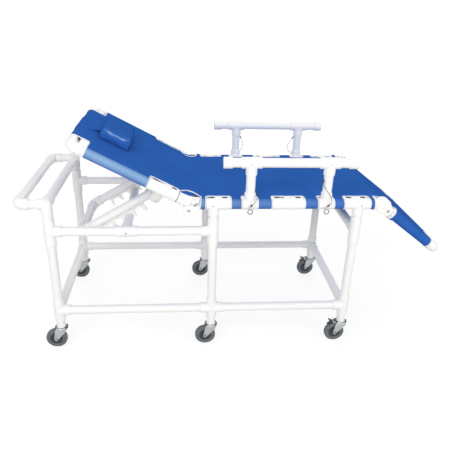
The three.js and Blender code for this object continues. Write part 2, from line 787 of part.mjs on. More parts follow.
const wide = ({ from, to }, at = notchAt) => ({ from: from - sling.end, to: to + sling.end, at });
const slipTees = sidePostX.map((x) => ({ from: x - slipTeeHalf, to: x + slipTeeHalf }));
const deckFittings = [midLegTee, slipTees[0], braceTee, slipTees[1], footLegTee];
const deckWraps = [backHingeSleeve, ...deckFittings].map((fitting, i) => ({
  from: fitting.to + sling.end,
  to: [...deckFittings, footHingeSleeve][i].from - sling.end,
}));
place(
  "sling_deck",
  slingSheet({
    way: 1,
    rise: deckZ,
    from: deckSling.from,
    to: deckSling.to,
    wraps: deckWraps,
    notches: [
      { from: deckSling.from - overrun, to: backHingeSleeve.to + sling.end, at: notchAt },
      ...[midLegTee, braceTee, footLegTee].map((fitting) => wide(fitting)),
      ...slipTees.map((fitting) => wide(fitting, deepNotchAt)),
      { from: footHingeSleeve.from - sling.end, to: deckSling.to + overrun, at: notchAt },
    ],
  }),
  slingBlue,
);
place(
  "sling_back",
  slingSheet({
    way: -1,
    rise: backRailRise,
    from: backSlingFrom,
    to: backReach,
    wraps: [backWrap],
    notches: [
      { from: backSlingFrom - overrun, to: backWrap.from, at: notchAt },
      { from: backWrap.to, to: backReach + fittingRadius, at: cornerAt },
    ],
    endWrap: true,
  }),
  slingBlue,
  back,
);
place(
  "sling_leg",
  slingSheet({
    way: 1,
    rise: 0,
    from: legSlingFrom,
    to: legReach,
    wraps: [legWrap],
    notches: [
      { from: legSlingFrom - overrun, to: legWrap.from, at: notchAt },
      { from: legWrap.to, to: legReach + fittingRadius, at: cornerAt },
    ],
    endWrap: true,
  }),
  slingBlue,
  legRest,
);

// Head cushion: a squarish ball, flattened below, whose sides draw in between the corners
function headCushion() {
  const geometry = new THREE.SphereGeometry(1, 2 * cushionSteps, cushionSteps);
  geometry.rotateX(Math.PI / 2);
  const bare = new THREE.BufferGeometry();
  bare.setAttribute("position", geometry.getAttribute("position"));
  bare.setIndex(geometry.index);
  const position = bare.getAttribute("position");
  const squareShare = 0.45;
  const crownShare = 0.72;
  const square = (value, share) => Math.sign(value) * Math.abs(value) ** share;
  for (let i = 0; i < position.count; i += 1) {
    const [x, y, z] = [position.getX(i), position.getY(i), position.getZ(i)];
    const flat = Math.hypot(x, y) || 1;
    const spread = square(flat, squareShare);
    const u = square(x / flat, squareShare) * spread;
    const v = square(y / flat, squareShare) * spread;
    const halfLength = cushion.length / 2 - cushion.drawnIn * (1 - v * v);
    const halfWidth = cushion.width / 2 - cushion.drawnIn * (1 - u * u);
    const lift = square(z, crownShare) * (z > 0 ? cushion.height - cushion.foot : cushion.foot);
    position.setXYZ(i, u * halfLength, v * halfWidth, lift + cushion.foot);
  }
  return solidFrom(bare);
}
const cushionMesh = place("head_cushion", headCushion(), cushionBlue, back);
cushionMesh.position.set(-cushion.at, 0, backRailRise + sleeveOuter + seatGap);

// Casters: every wheel trails towards the head, in a fork whose stem turns inside the leg
function wheel() {
  const facet = 1 / Math.cos(Math.PI / wheelSides);
  const outer = wheelRadius * facet;
  const half = wheelWidth / 2;
  const rim = wheelRadius - tyre.depth;
  const profile = [
    [axle.hole, -tyre.hubHalf],
    [tyre.hubRadius, -tyre.hubHalf],
    [rim, -tyre.webHalf],
    [outer - tyre.edge, -half],
    [outer, -half + tyre.edge],
    [outer, half - tyre.edge],
    [outer - tyre.edge, half],
    [rim, tyre.webHalf],
    [tyre.hubRadius, tyre.hubHalf],
    [axle.hole, tyre.hubHalf],
    [axle.hole, -tyre.hubHalf],
  ].map(([r, y]) => new THREE.Vector2(r, y));
  const geometry = new THREE.LatheGeometry(profile, wheelSides);
  geometry.rotateY(Math.PI / wheelSides);
  return solidFrom(geometry);
}

function casterFork(braked) {
  const plateIn = tyre.hubHalf + fork.gap;
  const plateOut = plateIn + fork.plate;
  const axleZ = wheelRadius;
  const outline = [
    [-casterTrail - fork.footHalf, axleZ],
    [-casterTrail, axleZ - fork.footHalf],
    [-casterTrail + fork.footHalf, axleZ],
    [fork.topHalf, forkHead.to - fork.plate],
    [-fork.topHalf, forkHead.to - fork.plate],
  ];
  const cheeks = [-1, 1].map((way) => {
    const [low, high] = [way * plateIn, way * plateOut].sort((a, b) => a - b);
    return plate(outline, low, high);
  });
  const nutEnd = plateOut + axle.nutLength;
  const parts = [
    ...cheeks,
    rod([0, 0, forkHead.from], [0, 0, forkHead.to], forkHead.radius, discSides),
    rod([0, 0, forkHead.from], [0, 0, legBottomZ + stemLength], stemRadius),
    rod([-casterTrail, -plateOut, axleZ], [-casterTrail, plateOut, axleZ], axle.radius),
    ...[-1, 1].map((way) =>
      rod([-casterTrail, way * plateOut, axleZ], [-casterTrail, way * nutEnd, axleZ], axle.nutRadius),
    ),
  ];
  if (braked) {
    const ears = [-1, 1].map((way) => {
      const [low, high] = [way * brakeEar.inner, way * brakeEar.outer].sort((a, b) => a - b);
      const ear = [
        ...arcPoints([brake.eyeX, brake.eyeZ], brakeEar.radius, Math.PI / 2, (3 * Math.PI) / 2, shoeSteps),
        [brakeEar.root, brake.eyeZ - brakeEar.radius],
        [brakeEar.root, brake.eyeZ + brakeEar.radius],
      ];
      return plate(ear, low, high);
    });
    const pinEnds = [-brakeEar.outer, brakeEar.outer].map((y) => [brake.eyeX, y, brake.eyeZ]);
    parts.push(...ears, rod(...pinEnds, brake.pin));
  }
  return joined(parts);
}

// Brake pedal: an eye on the fork's cross pin, a toe tab outwards and a shoe that follows the tyre
function brakePedal() {
  const inner = wheelRadius + brakeShoe.gap;
  const outer = inner + brakeShoe.depth;
  const centre = [-casterTrail, wheelRadius];
  const eyeAngle = Math.atan2(brake.eyeZ - wheelRadius, brake.eyeX + casterTrail);
  const shoe = [
    ...arcPoints(centre, inner, eyeAngle, eyeAngle + shoeSweep, shoeSteps),
    ...arcPoints(centre, outer, eyeAngle + shoeSweep, eyeAngle, shoeSteps),
  ];
  const tab = [
    [brake.eyeX, brake.eyeZ + brakeTab.depth / 2],
    [brake.eyeX - brakeTab.length, brake.eyeZ + brakeTab.rise + brakeTab.depth],
    [brake.eyeX - brakeTab.length, brake.eyeZ + brakeTab.rise],
    [brake.eyeX, brake.eyeZ - brakeTab.depth / 2],
  ];
  const across = (half) => [-half, half].map((y) => [brake.eyeX, y, brake.eyeZ]);
  const eye = rod(...across(brake.half), brake.eyeRadius);
  const hole = rod(...across(brake.half + overrun), brake.hole);
  const body = [shoe, tab].map((outline) => plate(outline, -brake.half, brake.half));
  return carved([eye, ...body], [hole]);
}

const casterPlaces = [
  { label: "head", x: headLegX },
  { label: "mid", x: midLegX },
  { label: "foot", x: footLegX },
];
for (const { label, x } of casterPlaces) {
  for (const { name, sign } of sides) {
    const caster = new THREE.Group();
    caster.position.set(x, sign * trackHalf, 0);
    stretcher.add(caster);
    const braked = label === "foot";
    place("caster_fork_" + label + "_" + name, casterFork(braked), zinc, caster);
    const rolling = place("caster_wheel_" + label + "_" + name, wheel(), tyreGrey, caster);
    rolling.position.set(-casterTrail, 0, wheelRadius);
    if (braked) place("brake_pedal_" + name, brakePedal(), zinc, caster);
  }
}

// The finished part stands centred over the floor
stretcher.updateMatrixWorld(true);
const bounds = new THREE.Box3().setFromObject(stretcher, true);
stretcher.position.x = -(bounds.min.x + bounds.max.x) / 2;

export default stretcher;
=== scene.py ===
import math

import bmesh
import bpy
import numpy as np
from numpy.linalg import norm
from mathutils import Matrix, Vector
from mathutils.geometry import delaunay_2d_cdt


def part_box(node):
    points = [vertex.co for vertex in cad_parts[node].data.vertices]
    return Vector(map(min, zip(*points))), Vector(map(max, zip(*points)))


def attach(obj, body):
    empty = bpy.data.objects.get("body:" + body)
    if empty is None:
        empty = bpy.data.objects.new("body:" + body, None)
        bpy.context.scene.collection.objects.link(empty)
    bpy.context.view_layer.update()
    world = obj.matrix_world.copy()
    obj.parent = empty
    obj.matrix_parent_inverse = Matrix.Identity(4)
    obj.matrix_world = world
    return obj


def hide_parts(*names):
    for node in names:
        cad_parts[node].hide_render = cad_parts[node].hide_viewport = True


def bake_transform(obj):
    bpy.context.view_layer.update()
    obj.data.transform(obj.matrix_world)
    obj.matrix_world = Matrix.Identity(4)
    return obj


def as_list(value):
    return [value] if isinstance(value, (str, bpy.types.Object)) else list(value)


# A transport stretcher of white plastic pipe with a blue sling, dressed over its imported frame.
# Metres. The layout is measured from the floor and from the middle pair of legs, as the frame is.
bl_info = {
    "name": "Transport Stretcher",
    "version": (1, 0, 0),
    "blender": (4, 5, 0),
    "location": "3D View > Sidebar > Stretcher",
    "description": "Dresses a pipe stretcher: pipes, fittings, sling, cushion, lanyards and casters",
    "category": "Object",
}

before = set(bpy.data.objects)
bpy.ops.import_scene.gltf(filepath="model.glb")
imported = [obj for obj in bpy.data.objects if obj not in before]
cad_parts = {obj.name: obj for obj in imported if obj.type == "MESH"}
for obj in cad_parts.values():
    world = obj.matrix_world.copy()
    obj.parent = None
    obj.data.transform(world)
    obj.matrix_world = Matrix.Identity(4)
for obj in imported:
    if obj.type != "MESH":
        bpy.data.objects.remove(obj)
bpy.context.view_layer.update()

# Where the layout's zero lies in the frame: the middle legs
mid_low, mid_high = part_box("mid_leg_near")
MIDDLE = Vector(((mid_low.x + mid_high.x) / 2, 0, 0))
TRACK = -(mid_low.y + mid_high.y) / 2

# Base frame
PIPE_R = 0.0211
FITTING_R = 0.0255
LIP = 0.0022
SOCKET = 0.055
BEND_R = 0.034
ELBOW_SLEEVE = 0.020
HEAD_X, MID_X, FOOT_X = -0.734, 0.0, 0.6694
LEG_BOTTOM = 0.1175
LOW_Z, MID_Z, DECK_Z = 0.2115, 0.6323, 0.7653
LOW_TEE, MID_TEE = 0.055, 0.066
GRIP_X = HEAD_X - 0.1247
SEAT = 0.0235

# Deck rail fittings and hinges
BACK_SLEEVE = (-0.060, -0.051)
LEG_TEE = (-0.033, 0.075)
BRACE_TEE = (0.266, 0.412)
BRACE_X = 0.339
BRACE_REACH = 0.030
FOOT_TEE = (0.601, 0.718)
FOOT_SLEEVE = (0.735, 0.7835)
BACK_PIN = (-0.112, 0.7415)
FOOT_PIN = (0.8058, 0.7375)
FOOT_BOSS = (0.7835, 0.7585)
BOSS_R, BOSS_HALF = 0.036, 0.022
LUG_R, TONGUE_HALF, CHEEK_IN, CHEEK_OUT = 0.0265, 0.0095, 0.010, 0.020
SLOT_R = 0.0277
# The back hinge's outer plates, from the pin, with room for the raised back section
CHEEK_PLATE = ((0.0, -0.0260), (0.0, 0.0066), (0.0560, 0.0263), (0.0560, -0.0012))

# Back section, prop and leg section
BACK_TILT = math.radians(27.5)
BACK_RISE, BACK_REACH, BACK_WRAP_TO = 0.028, 0.574, 0.510
LEG_WRAP_TO = 0.2945
BACK_FITTING = (0.008, 0.071)
HANGER_TEE, HANGER_AT, HANGER_REACH = (0.073, 0.213), 0.1473, 0.044
HANGER_DROP = 0.0742
PROP_TILT = math.radians(30.6)
PROP_HALF, PROP_REACH, PROP_TEE, PROP_SOCKET = 0.172, 0.418, 0.027, 0.048
REST_X, REST_TEE = -0.395, 0.050
LEG_TILT = math.radians(36.5)
LEG_REACH = 0.350
LEG_FITTING = (0.030, 0.052)

# Side rails
RAIL_Z, RAIL_FROM, RAIL_TO = 0.9595, 0.038, 0.640
POST_X = {"head": 0.163, "foot": 0.513}
TOP_TEE, RAIL_CAP, SLIP_TEE = 0.046, 0.042, 0.034
PIN_DROP = 0.010

SIDES = {"near": -1, "far": 1}
X, Y, Z = Vector((1, 0, 0)), Vector((0, 1, 0)), Vector((0, 0, 1))


def turned_about(pin, angle):
    """Where a group stands that turns at a pin."""
    return Matrix.Translation(MIDDLE + Vector((pin[0], 0, pin[1]))) @ Matrix.Rotation(angle, 4, "Y")


BASE = Matrix.Translation(MIDDLE)
BACK = turned_about(BACK_PIN, BACK_TILT)
HANGER_Z = BACK_RISE - HANGER_DROP
PROP_PIVOT = Matrix.Translation((-HANGER_AT, 0, HANGER_Z))
PROP = BACK @ PROP_PIVOT @ Matrix.Rotation(-(PROP_TILT + BACK_TILT), 4, "Y")
LEG = turned_about(FOOT_PIN, LEG_TILT)


def measure(name, description, value):
    """A length that a user would change."""
    return bpy.props.FloatProperty(name=name, description=description, default=value, unit="LENGTH")


class StretcherSizes(bpy.types.PropertyGroup):
    """Sizes that a user would change."""

    pipe_sides: bpy.props.IntProperty(name="Pipe sides", description="Faces of each pipe", default=40, min=12)
    fitting_grain: measure("Fitting mesh size", "Edge length of the fittings' faces", 0.0026)
    cloth: measure("Cloth thickness", "Thickness of the sling's cloth", 0.0014)
    binding_width: measure("Binding width", "Width of the white tape on the cut edges", 0.0056)
    stitch: measure("Stitch length", "Length of one stitch with its gap", 0.0052)
    tape_bulge: measure("Binding thickness", "Thickness of the folded tape", 0.0052)


def colour(name, description, value):
    """A colour that a user would change."""
    return bpy.props.FloatVectorProperty(
        name=name, description=description, subtype="COLOR", size=3, min=0, max=1, default=value
    )


class StretcherColours(bpy.types.PropertyGroup):
    """Colours that a user would change."""

    pipe: colour("Pipe", "White plastic of the pipes", (0.895, 0.903, 0.912))
    fitting: colour("Fitting", "White plastic of the fittings", (0.905, 0.910, 0.915))
    rack: colour("Rack", "Sheet plastic of the racks", (0.88, 0.885, 0.89))
    sling: colour("Sling", "Cloth of the sling", (0.0262, 0.118, 0.445))
    cushion: colour("Cushion", "Cover of the head cushion", (0.0285, 0.118, 0.430))
    binding: colour("Binding", "Tape on the cut edges", (0.84, 0.87, 0.90))
    zinc: colour("Zinc", "Plated steel of the casters", (0.50, 0.52, 0.53))
    tyre: colour("Tyre", "Rubber of the wheels", (0.096, 0.112, 0.124))
    hub: colour("Hub", "Plastic of the wheel hubs", (0.018, 0.026, 0.035))
    dark: colour("Dark parts", "Swivel rings, ferrules and cables", (0.022, 0.022, 0.024))


def sizes():
    """The scene's sizes."""
    return bpy.context.scene.stretcher_sizes


def colours():
    """The scene's colours."""
    return bpy.context.scene.stretcher_colours


# Threads of the cloth, in radians for each metre
THREAD_PITCH = 0.0024
THREADS = 2 * math.pi / THREAD_PITCH

# Painted highlight across the cloth, on the rolls round the rails: where it begins and how wide it comes in,
# with its peak and fade in such widths
ROLL_HIGHLIGHT_FROM, ROLL_HIGHLIGHT_OVER, ROLL_HIGHLIGHT_PEAK, ROLL_HIGHLIGHT_FADE = 0.331, 0.005, 5.2, 0.13
# The painted highlight along it: its strength at the middle legs and what each metre changes
ROLL_HIGHLIGHT_MIDDLE, ROLL_HIGHLIGHT_TO_FOOT, ROLL_HIGHLIGHT_TO_HEAD, ROLL_HIGHLIGHT_MOST = 0.5, 0.6, 1.5, 0.4
# What a painted highlight keeps of a colour and adds to it
PAINTED_HIGHLIGHT_KEEPS, PAINTED_HIGHLIGHT_ADDS = 0.72, (0.234, 0.330, 0.330)


# Shader maths written as expressions
class Wire:
    """One output of a node, for use in expressions."""

    def __init__(self, board, socket):
        self.board, self.socket = board, socket

    def maths(self, operation, *values):
        return self.board.node("Math", {"operation": operation}, *values)

    def __add__(self, other):
        return self.maths("ADD", self, other)

    def __radd__(self, other):
        return self.maths("ADD", other, self)

    def __sub__(self, other):
        return self.maths("SUBTRACT", self, other)

    def __rsub__(self, other):
        return self.maths("SUBTRACT", other, self)

    def __mul__(self, other):
        return self.maths("MULTIPLY", self, other)

    def __rmul__(self, other):
        return self.maths("MULTIPLY", other, self)

    def sine(self):
        return self.maths("SINE", self)

    def size(self):
        return self.maths("ABSOLUTE", self)

    def clamped(self, low, high):
        return self.board.node("Clamp", {}, self, low, high)


class Board:
    """The nodes of one material, or of the world."""

    def __init__(self, owner, shader="Principled BSDF"):
        owner.use_nodes = True
        self.owner, self.tree = owner, owner.node_tree
        self.shader = self.tree.nodes[shader]

    def node(self, kind, settings=None, *values, out=0, **named):
        """A node with its settings and sockets."""
        made = self.tree.nodes.new("ShaderNode" + kind)
        for key, value in (settings or {}).items():
            setattr(made, key, value)
        inputs = dict(enumerate(values)) | {key.replace("_", " "): value for key, value in named.items()}
        for key, value in inputs.items():
            self.feed(made.inputs[key], value)
        return Wire(self, made.outputs[out])

    def feed(self, socket, value):
        """Links a wire to a socket, or sets the socket to a value."""
        if isinstance(value, Wire):
            self.tree.links.new(value.socket, socket)
        elif socket.type == "RGBA" and len(value) == 3:
            socket.default_value = (*value, 1)
        else:
            socket.default_value = value

    def set(self, **sockets):
        """Feeds the shader's own sockets by name."""
        for key, value in sockets.items():
            self.feed(self.shader.inputs[key.replace("_", " ")], value)
        return self

    def mix(self, share, first, second):
        """Two colours mixed by a share."""
        made = self.node("Mix", {"data_type": "RGBA"}, share, out=2).socket.node
        self.feed(made.inputs[6], first)
        self.feed(made.inputs[7], second)
        return Wire(self, made.outputs[2])

    def place(self):
        """The object's own coordinates."""
        return self.node("TexCoord", out="Object")

    def noise(self, scale, detail=3.0, place=None, roughness=0.5):
        """Noise with that many cells for each metre."""
        at = place or self.place()
        return self.node("TexNoise", {}, Vector=at, Scale=scale, Detail=detail, Roughness=roughness)

    def bump(self, height, strength, distance):
        """Roughens the surface by a height."""
        lifted = self.node("Bump", {}, Height=height, Strength=strength, Distance=distance)
        return self.set(Normal=lifted)


def toned(shade, share, more=0.0):
    """A colour made lighter or darker."""
    return [min(1.0, value * share + more) for value in shade]


def painted_highlight_tone(shade, strength=1.0):
    """A colour with a painted highlight on it."""
    return [value * PAINTED_HIGHLIGHT_KEEPS + strength * more for value, more in zip(shade, PAINTED_HIGHLIGHT_ADDS)]


def plastic(name, shade, gloss, grain):
    """Moulded or drawn white plastic: faint cloudiness, scuffs that dull it, and a fine skin."""
    board = Board(bpy.data.materials.new(name))
    cloud = board.noise(7.0, 4.0)
    scuff = board.noise(90.0, 6.0, roughness=0.7)
    wear_and_highlight = (scuff - 0.56).clamped(0.0, 0.2) * 5.0
    base = board.mix(cloud, toned(shade, 0.955), toned(shade, 1.035))
    dulled = board.mix(wear_and_highlight * 0.25, base, toned(shade, 0.86))
    board.set(Base_Color=dulled, Roughness=cloud * 0.10 + wear_and_highlight * 0.22 + gloss, Specular_IOR_Level=0.35)
    return board.bump(board.noise(grain, 2.0) * 0.6 + scuff * 0.4, 0.10, 0.0006).owner


def sling_cloth(name, shade):
    """Coated mesh cloth: crossing threads along the cloth's own pattern, with a painted highlight on the
    rolls round the rails.
    """
    board = Board(bpy.data.materials.new(name))
    cloth = board.node("Attribute", {"attribute_name": "cloth"}, out="Vector")
    along = board.node("SeparateXYZ", {}, cloth)
    across = Wire(board, along.socket.node.outputs["Y"])
    weave = (along * THREADS).sine() * (across * THREADS).sine()
    cloud = board.noise(5.0, 3.0, place=cloth)
    fleck = board.noise(160.0, 4.0, place=cloth, roughness=0.65)
    # Painted highlight on the rolls round the rails, stronger towards the head end and fading towards the
    # foot
    out = across.size() * (1 / ROLL_HIGHLIGHT_OVER) - ROLL_HIGHLIGHT_FROM / ROLL_HIGHLIGHT_OVER
    streak = 1.0 - (out - ROLL_HIGHLIGHT_PEAK).size() * ROLL_HIGHLIGHT_FADE
    highlight_to_head = (along * -ROLL_HIGHLIGHT_TO_HEAD).clamped(0.0, ROLL_HIGHLIGHT_MOST)
    highlight_along = (ROLL_HIGHLIGHT_MIDDLE - along * ROLL_HIGHLIGHT_TO_FOOT + highlight_to_head).clamped(0.0, 1.0)
    painted_highlight = out.clamped(0.0, 1.0) * (streak.clamped(0.0, 1.0) * 0.85 + cloud * 0.25) * highlight_along
    base = board.mix((cloud * 1.5 - 0.25).clamped(0.0, 1.0), toned(shade, 0.88), toned(shade, 1.10, 0.003))
    threads = board.mix((weave * 0.5 + 0.5) * 0.25, base, toned(shade, 1.3))
    wear_and_highlight = board.mix(painted_highlight.clamped(0.0, 1.0), threads, painted_highlight_tone(shade))
    board.set(Base_Color=wear_and_highlight, Roughness=fleck * 0.12 + 0.46, Specular_IOR_Level=0.0)
    return board.bump(weave * 0.5 + fleck * 0.3, 0.25, 0.0003).owner


def tape_cloth(name, shade):
    """Ribbed tape, with ribs that cross it."""
    board = Board(bpy.data.materials.new(name))
    cloth = board.node("Attribute", {"attribute_name": "cloth"}, out="Vector")
    split = board.node("SeparateXYZ", {}, cloth)
    ribs = (split * THREADS).sine()
    fleck = board.noise(240.0, 3.0)
    base = board.mix(fleck * 0.5 + ribs * 0.12, toned(shade, 0.90), shade)
    board.set(Base_Color=base, Roughness=fleck * 0.15 + 0.5, Sheen_Weight=0.2)
    return board.bump(ribs * 0.5 + fleck * 0.5, 0.3, 0.0003).owner


def vinyl(name, shade):
    """Soft coated cloth over foam: a fine pebbled grain, with a painted highlight along its crest, where a
    clear coat also lies.
    """
    board = Board(bpy.data.materials.new(name))
    crest_highlight = board.node("Attribute", {"attribute_name": "crest_highlight"}, out="Fac")
    pebbles = board.node("TexVoronoi", {}, Vector=board.place(), Scale=430.0)
    cloud = board.noise(14.0, 4.0)
    base = board.mix(cloud, toned(shade, 0.88), toned(shade, 1.12))
    # Painted highlight along the cushion's crest
    painted_highlight = board.mix(crest_highlight, base, painted_highlight_tone(shade, 1.2))
    board.set(Base_Color=painted_highlight, Roughness=cloud * 0.08 + pebbles * 0.05 + 0.30, Specular_IOR_Level=0.0)
    board.set(Coat_Weight=crest_highlight * 0.3, Coat_Roughness=0.16)
    return board.bump(pebbles * 0.7 + board.noise(60.0) * 0.5, 0.10, 0.0005).owner


def metal(name, shade, gloss, streak):
    """Steel with fine streaks and a little tarnish."""
    board = Board(bpy.data.materials.new(name))
    stretched = board.node("Mapping", {}, Vector=board.place(), Scale=(1.0, 1.0, streak))
    lines = board.noise(140.0, 5.0, place=stretched)
    tarnish = board.noise(26.0, 4.0)
    base = board.mix(tarnish, toned(shade, 0.72), toned(shade, 1.18))
    board.set(Base_Color=base, Metallic=0.85, Roughness=lines * 0.16 + tarnish * 0.14 + gloss)
    return board.bump(lines, 0.15, 0.0003).owner


def rubber(name, shade, gloss):
    """Moulded rubber or dark plastic: dusty in its hollows."""
    board = Board(bpy.data.materials.new(name))
    dust = board.noise(38.0, 5.0, roughness=0.62)
    base = board.mix((dust - 0.35).clamped(0.0, 1.0), shade, toned(shade, 1.9, 0.02))
    board.set(Base_Color=base, Roughness=dust * 0.2 + gloss)
    return board.bump(board.noise(420.0), 0.2, 0.0004).owner


def finish(name):
    """The material of a finish, made when first asked for."""
    label = name + "_finish"
    made = bpy.data.materials.get(label)
    if made is None:
        shade = colours()
        makers = {
            "white_pipe": (plastic, shade.pipe, 0.27, 210.0),
            "white_fitting": (plastic, shade.fitting, 0.34, 320.0),
            "rack_sheet": (plastic, shade.rack, 0.42, 500.0),
            "sling_cloth": (sling_cloth, shade.sling),
            # Near-black patches at the cut-outs' corners: painted shadow
            "dark_facing": (rubber, (0.010, 0.012, 0.022), 0.6),
            "white_binding": (tape_cloth, shade.binding),
            "blue_thread": (sling_cloth, toned(shade.sling, 1.15)),
            "cushion_vinyl": (vinyl, shade.cushion),
            "zinc_plate": (metal, shade.zinc, 0.26, 0.15),
            "bright_steel": (metal, (0.62, 0.63, 0.64), 0.14, 0.3),
            "ring_wire": (metal, (0.135, 0.125, 0.118), 0.42, 0.3),
            "wheel_tyre": (rubber, shade.tyre, 0.5),
            "wheel_hub": (rubber, shade.hub, 0.38),
            "dark_parts": (rubber, shade.dark, 0.4),
        }
        maker, *values = makers[name]
        made = maker(label, *values)
    return made


# TINY keeps divisors above zero, and NEARLY_TWICE keeps rounded corners apart
TINY, NEARLY_TWICE = 1e-9, 2.01


def square_to(direction):
    """Two unit directions square to a direction."""
    axis = Vector(direction).normalized()
    side = axis.orthogonal().normalized()
    return side, axis.cross(side)


def headings(line):
    """The unit direction of a line at each of its points."""
    steps = np.gradient(line, axis=0)
    return steps / norm(steps, axis=1)[:, None]


def run_lengths(line):
    """How far along a line each of its points is."""
    return np.concatenate([[0], np.cumsum(norm(np.diff(line, axis=0), axis=1))])


def signed_area(outline):
    """The area inside an outline, negative if clockwise."""
    x, y = np.asarray(outline, float).T
    return 0.5 * np.sum(x * np.roll(y, -1) - np.roll(x, -1) * y)


def full_turn(count):
    """Angles spaced evenly round a circle."""
    return np.linspace(0, 2 * np.pi, count, endpoint=False)


def skin_rings(rings, wrap=False):
    """Faces between rings of points, with ends unless they wrap."""
    count, round_ = rings.shape[:2]
    faces = []
    for i in range(count if wrap else count - 1):
        low, high = i * round_, (i + 1) % count * round_
        faces += [(low + j, low + (j + 1) % round_, high + (j + 1) % round_, high + j) for j in range(round_)]
    if not wrap:
        faces += [tuple(range(round_))[::-1], tuple(range((count - 1) * round_, count * round_))]
    return rings.reshape(-1, 3), faces


def swept(path, radius, sides):
    """A tube along a path, with the least twist."""
    path = np.asarray(path, float)
    tangents = headings(path)
    side = np.array(square_to(tangents[0])[0])
    turn = full_turn(sides)
    section = np.stack([np.cos(turn), np.sin(turn)], 1)
    rings = []
    for point, tangent, size in zip(path, tangents, np.broadcast_to(radius, len(path))):
        side = side - tangent * (side @ tangent)
        side /= norm(side)
        up = np.cross(tangent, side)
        rings.append(point + size * (section[:, :1] * side + section[:, 1:] * up))
    return skin_rings(np.array(rings))


def hoop(centres, outs, up, radius, sides):
    """A closed ring of round wire."""
    turn = full_turn(sides)
    rings = []
    for centre, out in zip(centres, outs):
        rings.append(np.array(centre) + radius * (np.outer(np.cos(turn), out) + np.outer(np.sin(turn), up)))
    return skin_rings(np.array(rings), True)


def lathed(profile, origin, axis, sides=None, wrap=False):
    """A shape turned round an axis."""
    side, up = (np.array(v) for v in square_to(axis))
    axis = np.array(Vector(axis).normalized())
    turn = full_turn(sides or sizes().pipe_sides)
    circle = np.cos(turn)[:, None] * side + np.sin(turn)[:, None] * up
    rings = [np.array(origin) + axis * along + circle * radius for along, radius in profile]
    return skin_rings(np.array(rings), wrap)


def cut_corner(before, at, after, reach, count):
    """A curve inside a corner."""
    start, end = (at + (far - at) / max(norm(far - at), TINY) * reach for far in (before, after))
    return [start * (1 - t) ** 2 + 2 * at * t * (1 - t) + end * t**2 for t in np.linspace(0, 1, count)]


def eased(profile, ease, steps=3):
    """A profile whose corners are rounded off."""
    points = np.asarray(profile, float)
    out = [points[0]]
    for before, at, after in zip(points, points[1:], points[2:]):
        room = min(norm(before - at), norm(after - at)) / NEARLY_TWICE
        out += cut_corner(before, at, after, min(ease, room), steps + 1)
    return np.array([*out, points[-1]])


def slab(outline, low, high, ease):
    """A plate in the XZ plane with eased edges."""
    outline = np.asarray(outline, float)
    if signed_area(outline) < 0:
        outline = outline[::-1]
    normal = 0
    for side in (np.roll(outline, -1, 0) - outline, outline - np.roll(outline, 1, 0)):
        normal = normal + np.stack([side[:, 1], -side[:, 0]], 1) / norm(side, axis=1)[:, None]
    at_sharp_corners, part = 0.6, 0.3 * ease
    normal /= np.maximum(norm(normal, axis=1), at_sharp_corners)[:, None]
    steps = ((0, ease), (part, part), (ease, 0))
    levels = [(high - down, inset) for down, inset in steps]
    levels += [(low + up, inset) for up, inset in steps[::-1]]
    rings = []
    for y, inset in levels:
        flat = outline - normal * inset
        rings.append(np.stack([flat[:, 0], np.full(len(flat), y), flat[:, 1]], 1))
    return skin_rings(np.array(rings))


# Fittings as distance fields: fillets between their arms, and room for a pipe that moves in one
ARM_EASE, HINGE_EASE, BOSS_EASE, BEND_EASE = 0.004, 0.003, 0.005, 0.0015
BORE_ROOM, BORE_LIP = 0.00035, 0.0002


def rounded_off(over, lip):
    """The distance to a shape with rounded edges."""
    return norm(np.maximum(over, 0), axis=0) + np.minimum(over.max(0), 0) - lip


def rod_field(a, b, radius, lip=LIP):
    """A round bar between two points."""
    a, b = np.array(a, float), np.array(b, float)
    length = norm(b - a)
    axis = (b - a) / length

    def distance(p):
        along = (p - a) @ axis
        radial = norm(p - a - along[:, None] * axis, axis=1)
        over = np.stack([radial - radius + lip, np.abs(along - length / 2) - length / 2 + lip])
        return rounded_off(over, lip)

    return distance


def bend_field(corner, arm_a, arm_b, radius):
    """A quarter of a ring between two arms that leave a corner."""
    a, b = (np.array(Vector(arm).normalized()) for arm in (arm_a, arm_b))
    centre = np.array(corner) + (a + b) * BEND_R

    def distance(p):
        q = p - centre
        u, v = q @ -a, q @ -b
        w = norm(q - np.outer(u, -a) - np.outer(v, -b), axis=1)
        ring = np.hypot(np.hypot(u, v) - BEND_R, w)
        ends = np.minimum(norm(q + b * BEND_R, axis=1), norm(q + a * BEND_R, axis=1))
        return np.where((u > 0) & (v > 0), ring, ends) - radius

    return distance


def ball_field(centre, radius):
    """A ball."""
    centre = np.array(centre, float)
    return lambda p: norm(p - centre, axis=1) - radius


def beam_field(a, b, half_height, half_width, lip=LIP):
    """A flat bar in the XZ plane between two points."""
    a, b = np.array(a, float), np.array(b, float)
    length = norm(b - a)
    axis = (b - a) / length
    up = np.cross(axis, (0, 1, 0))
    halves = np.array([[length / 2 - lip], [half_height - lip], [half_width - lip]])

    def distance(p):
        q = p - (a + b) / 2
        return rounded_off(np.abs(np.stack([q @ axis, q @ up, q[:, 1]])) - halves, lip)

    return distance


def plate_field(corners, y, half, lip=LIP):
    """A convex plate in the XZ plane, with its corners clockwise."""
    corners = np.array(corners, float)
    sides = np.roll(corners, -1, 0) - corners
    outward = np.stack([-sides[:, 1], sides[:, 0]], 1) / norm(sides, axis=1)[:, None]

    def distance(p):
        flat = np.max([(p[:, [0, 2]] - at) @ way for at, way in zip(corners, outward)], axis=0)
        return rounded_off(np.stack([flat + lip, np.abs(p[:, 1] - y) - half + lip]), lip)

    return distance


def run_together(fields, ease):
    """Fields joined with a fillet of about that size."""

    def distance(p):
        total = fields[0](p)
        for field in fields[1:]:
            other = field(p)
            share = np.maximum(ease - np.abs(total - other), 0) / ease
            total = np.minimum(total, other) - share * share * ease / 4
        return total

    return distance


def cut_by(field, *cutters):
    """A field with others cut out of it."""
    return lambda p: np.max([field(p), *[-cutter(p) for cutter in cutters]], axis=0)


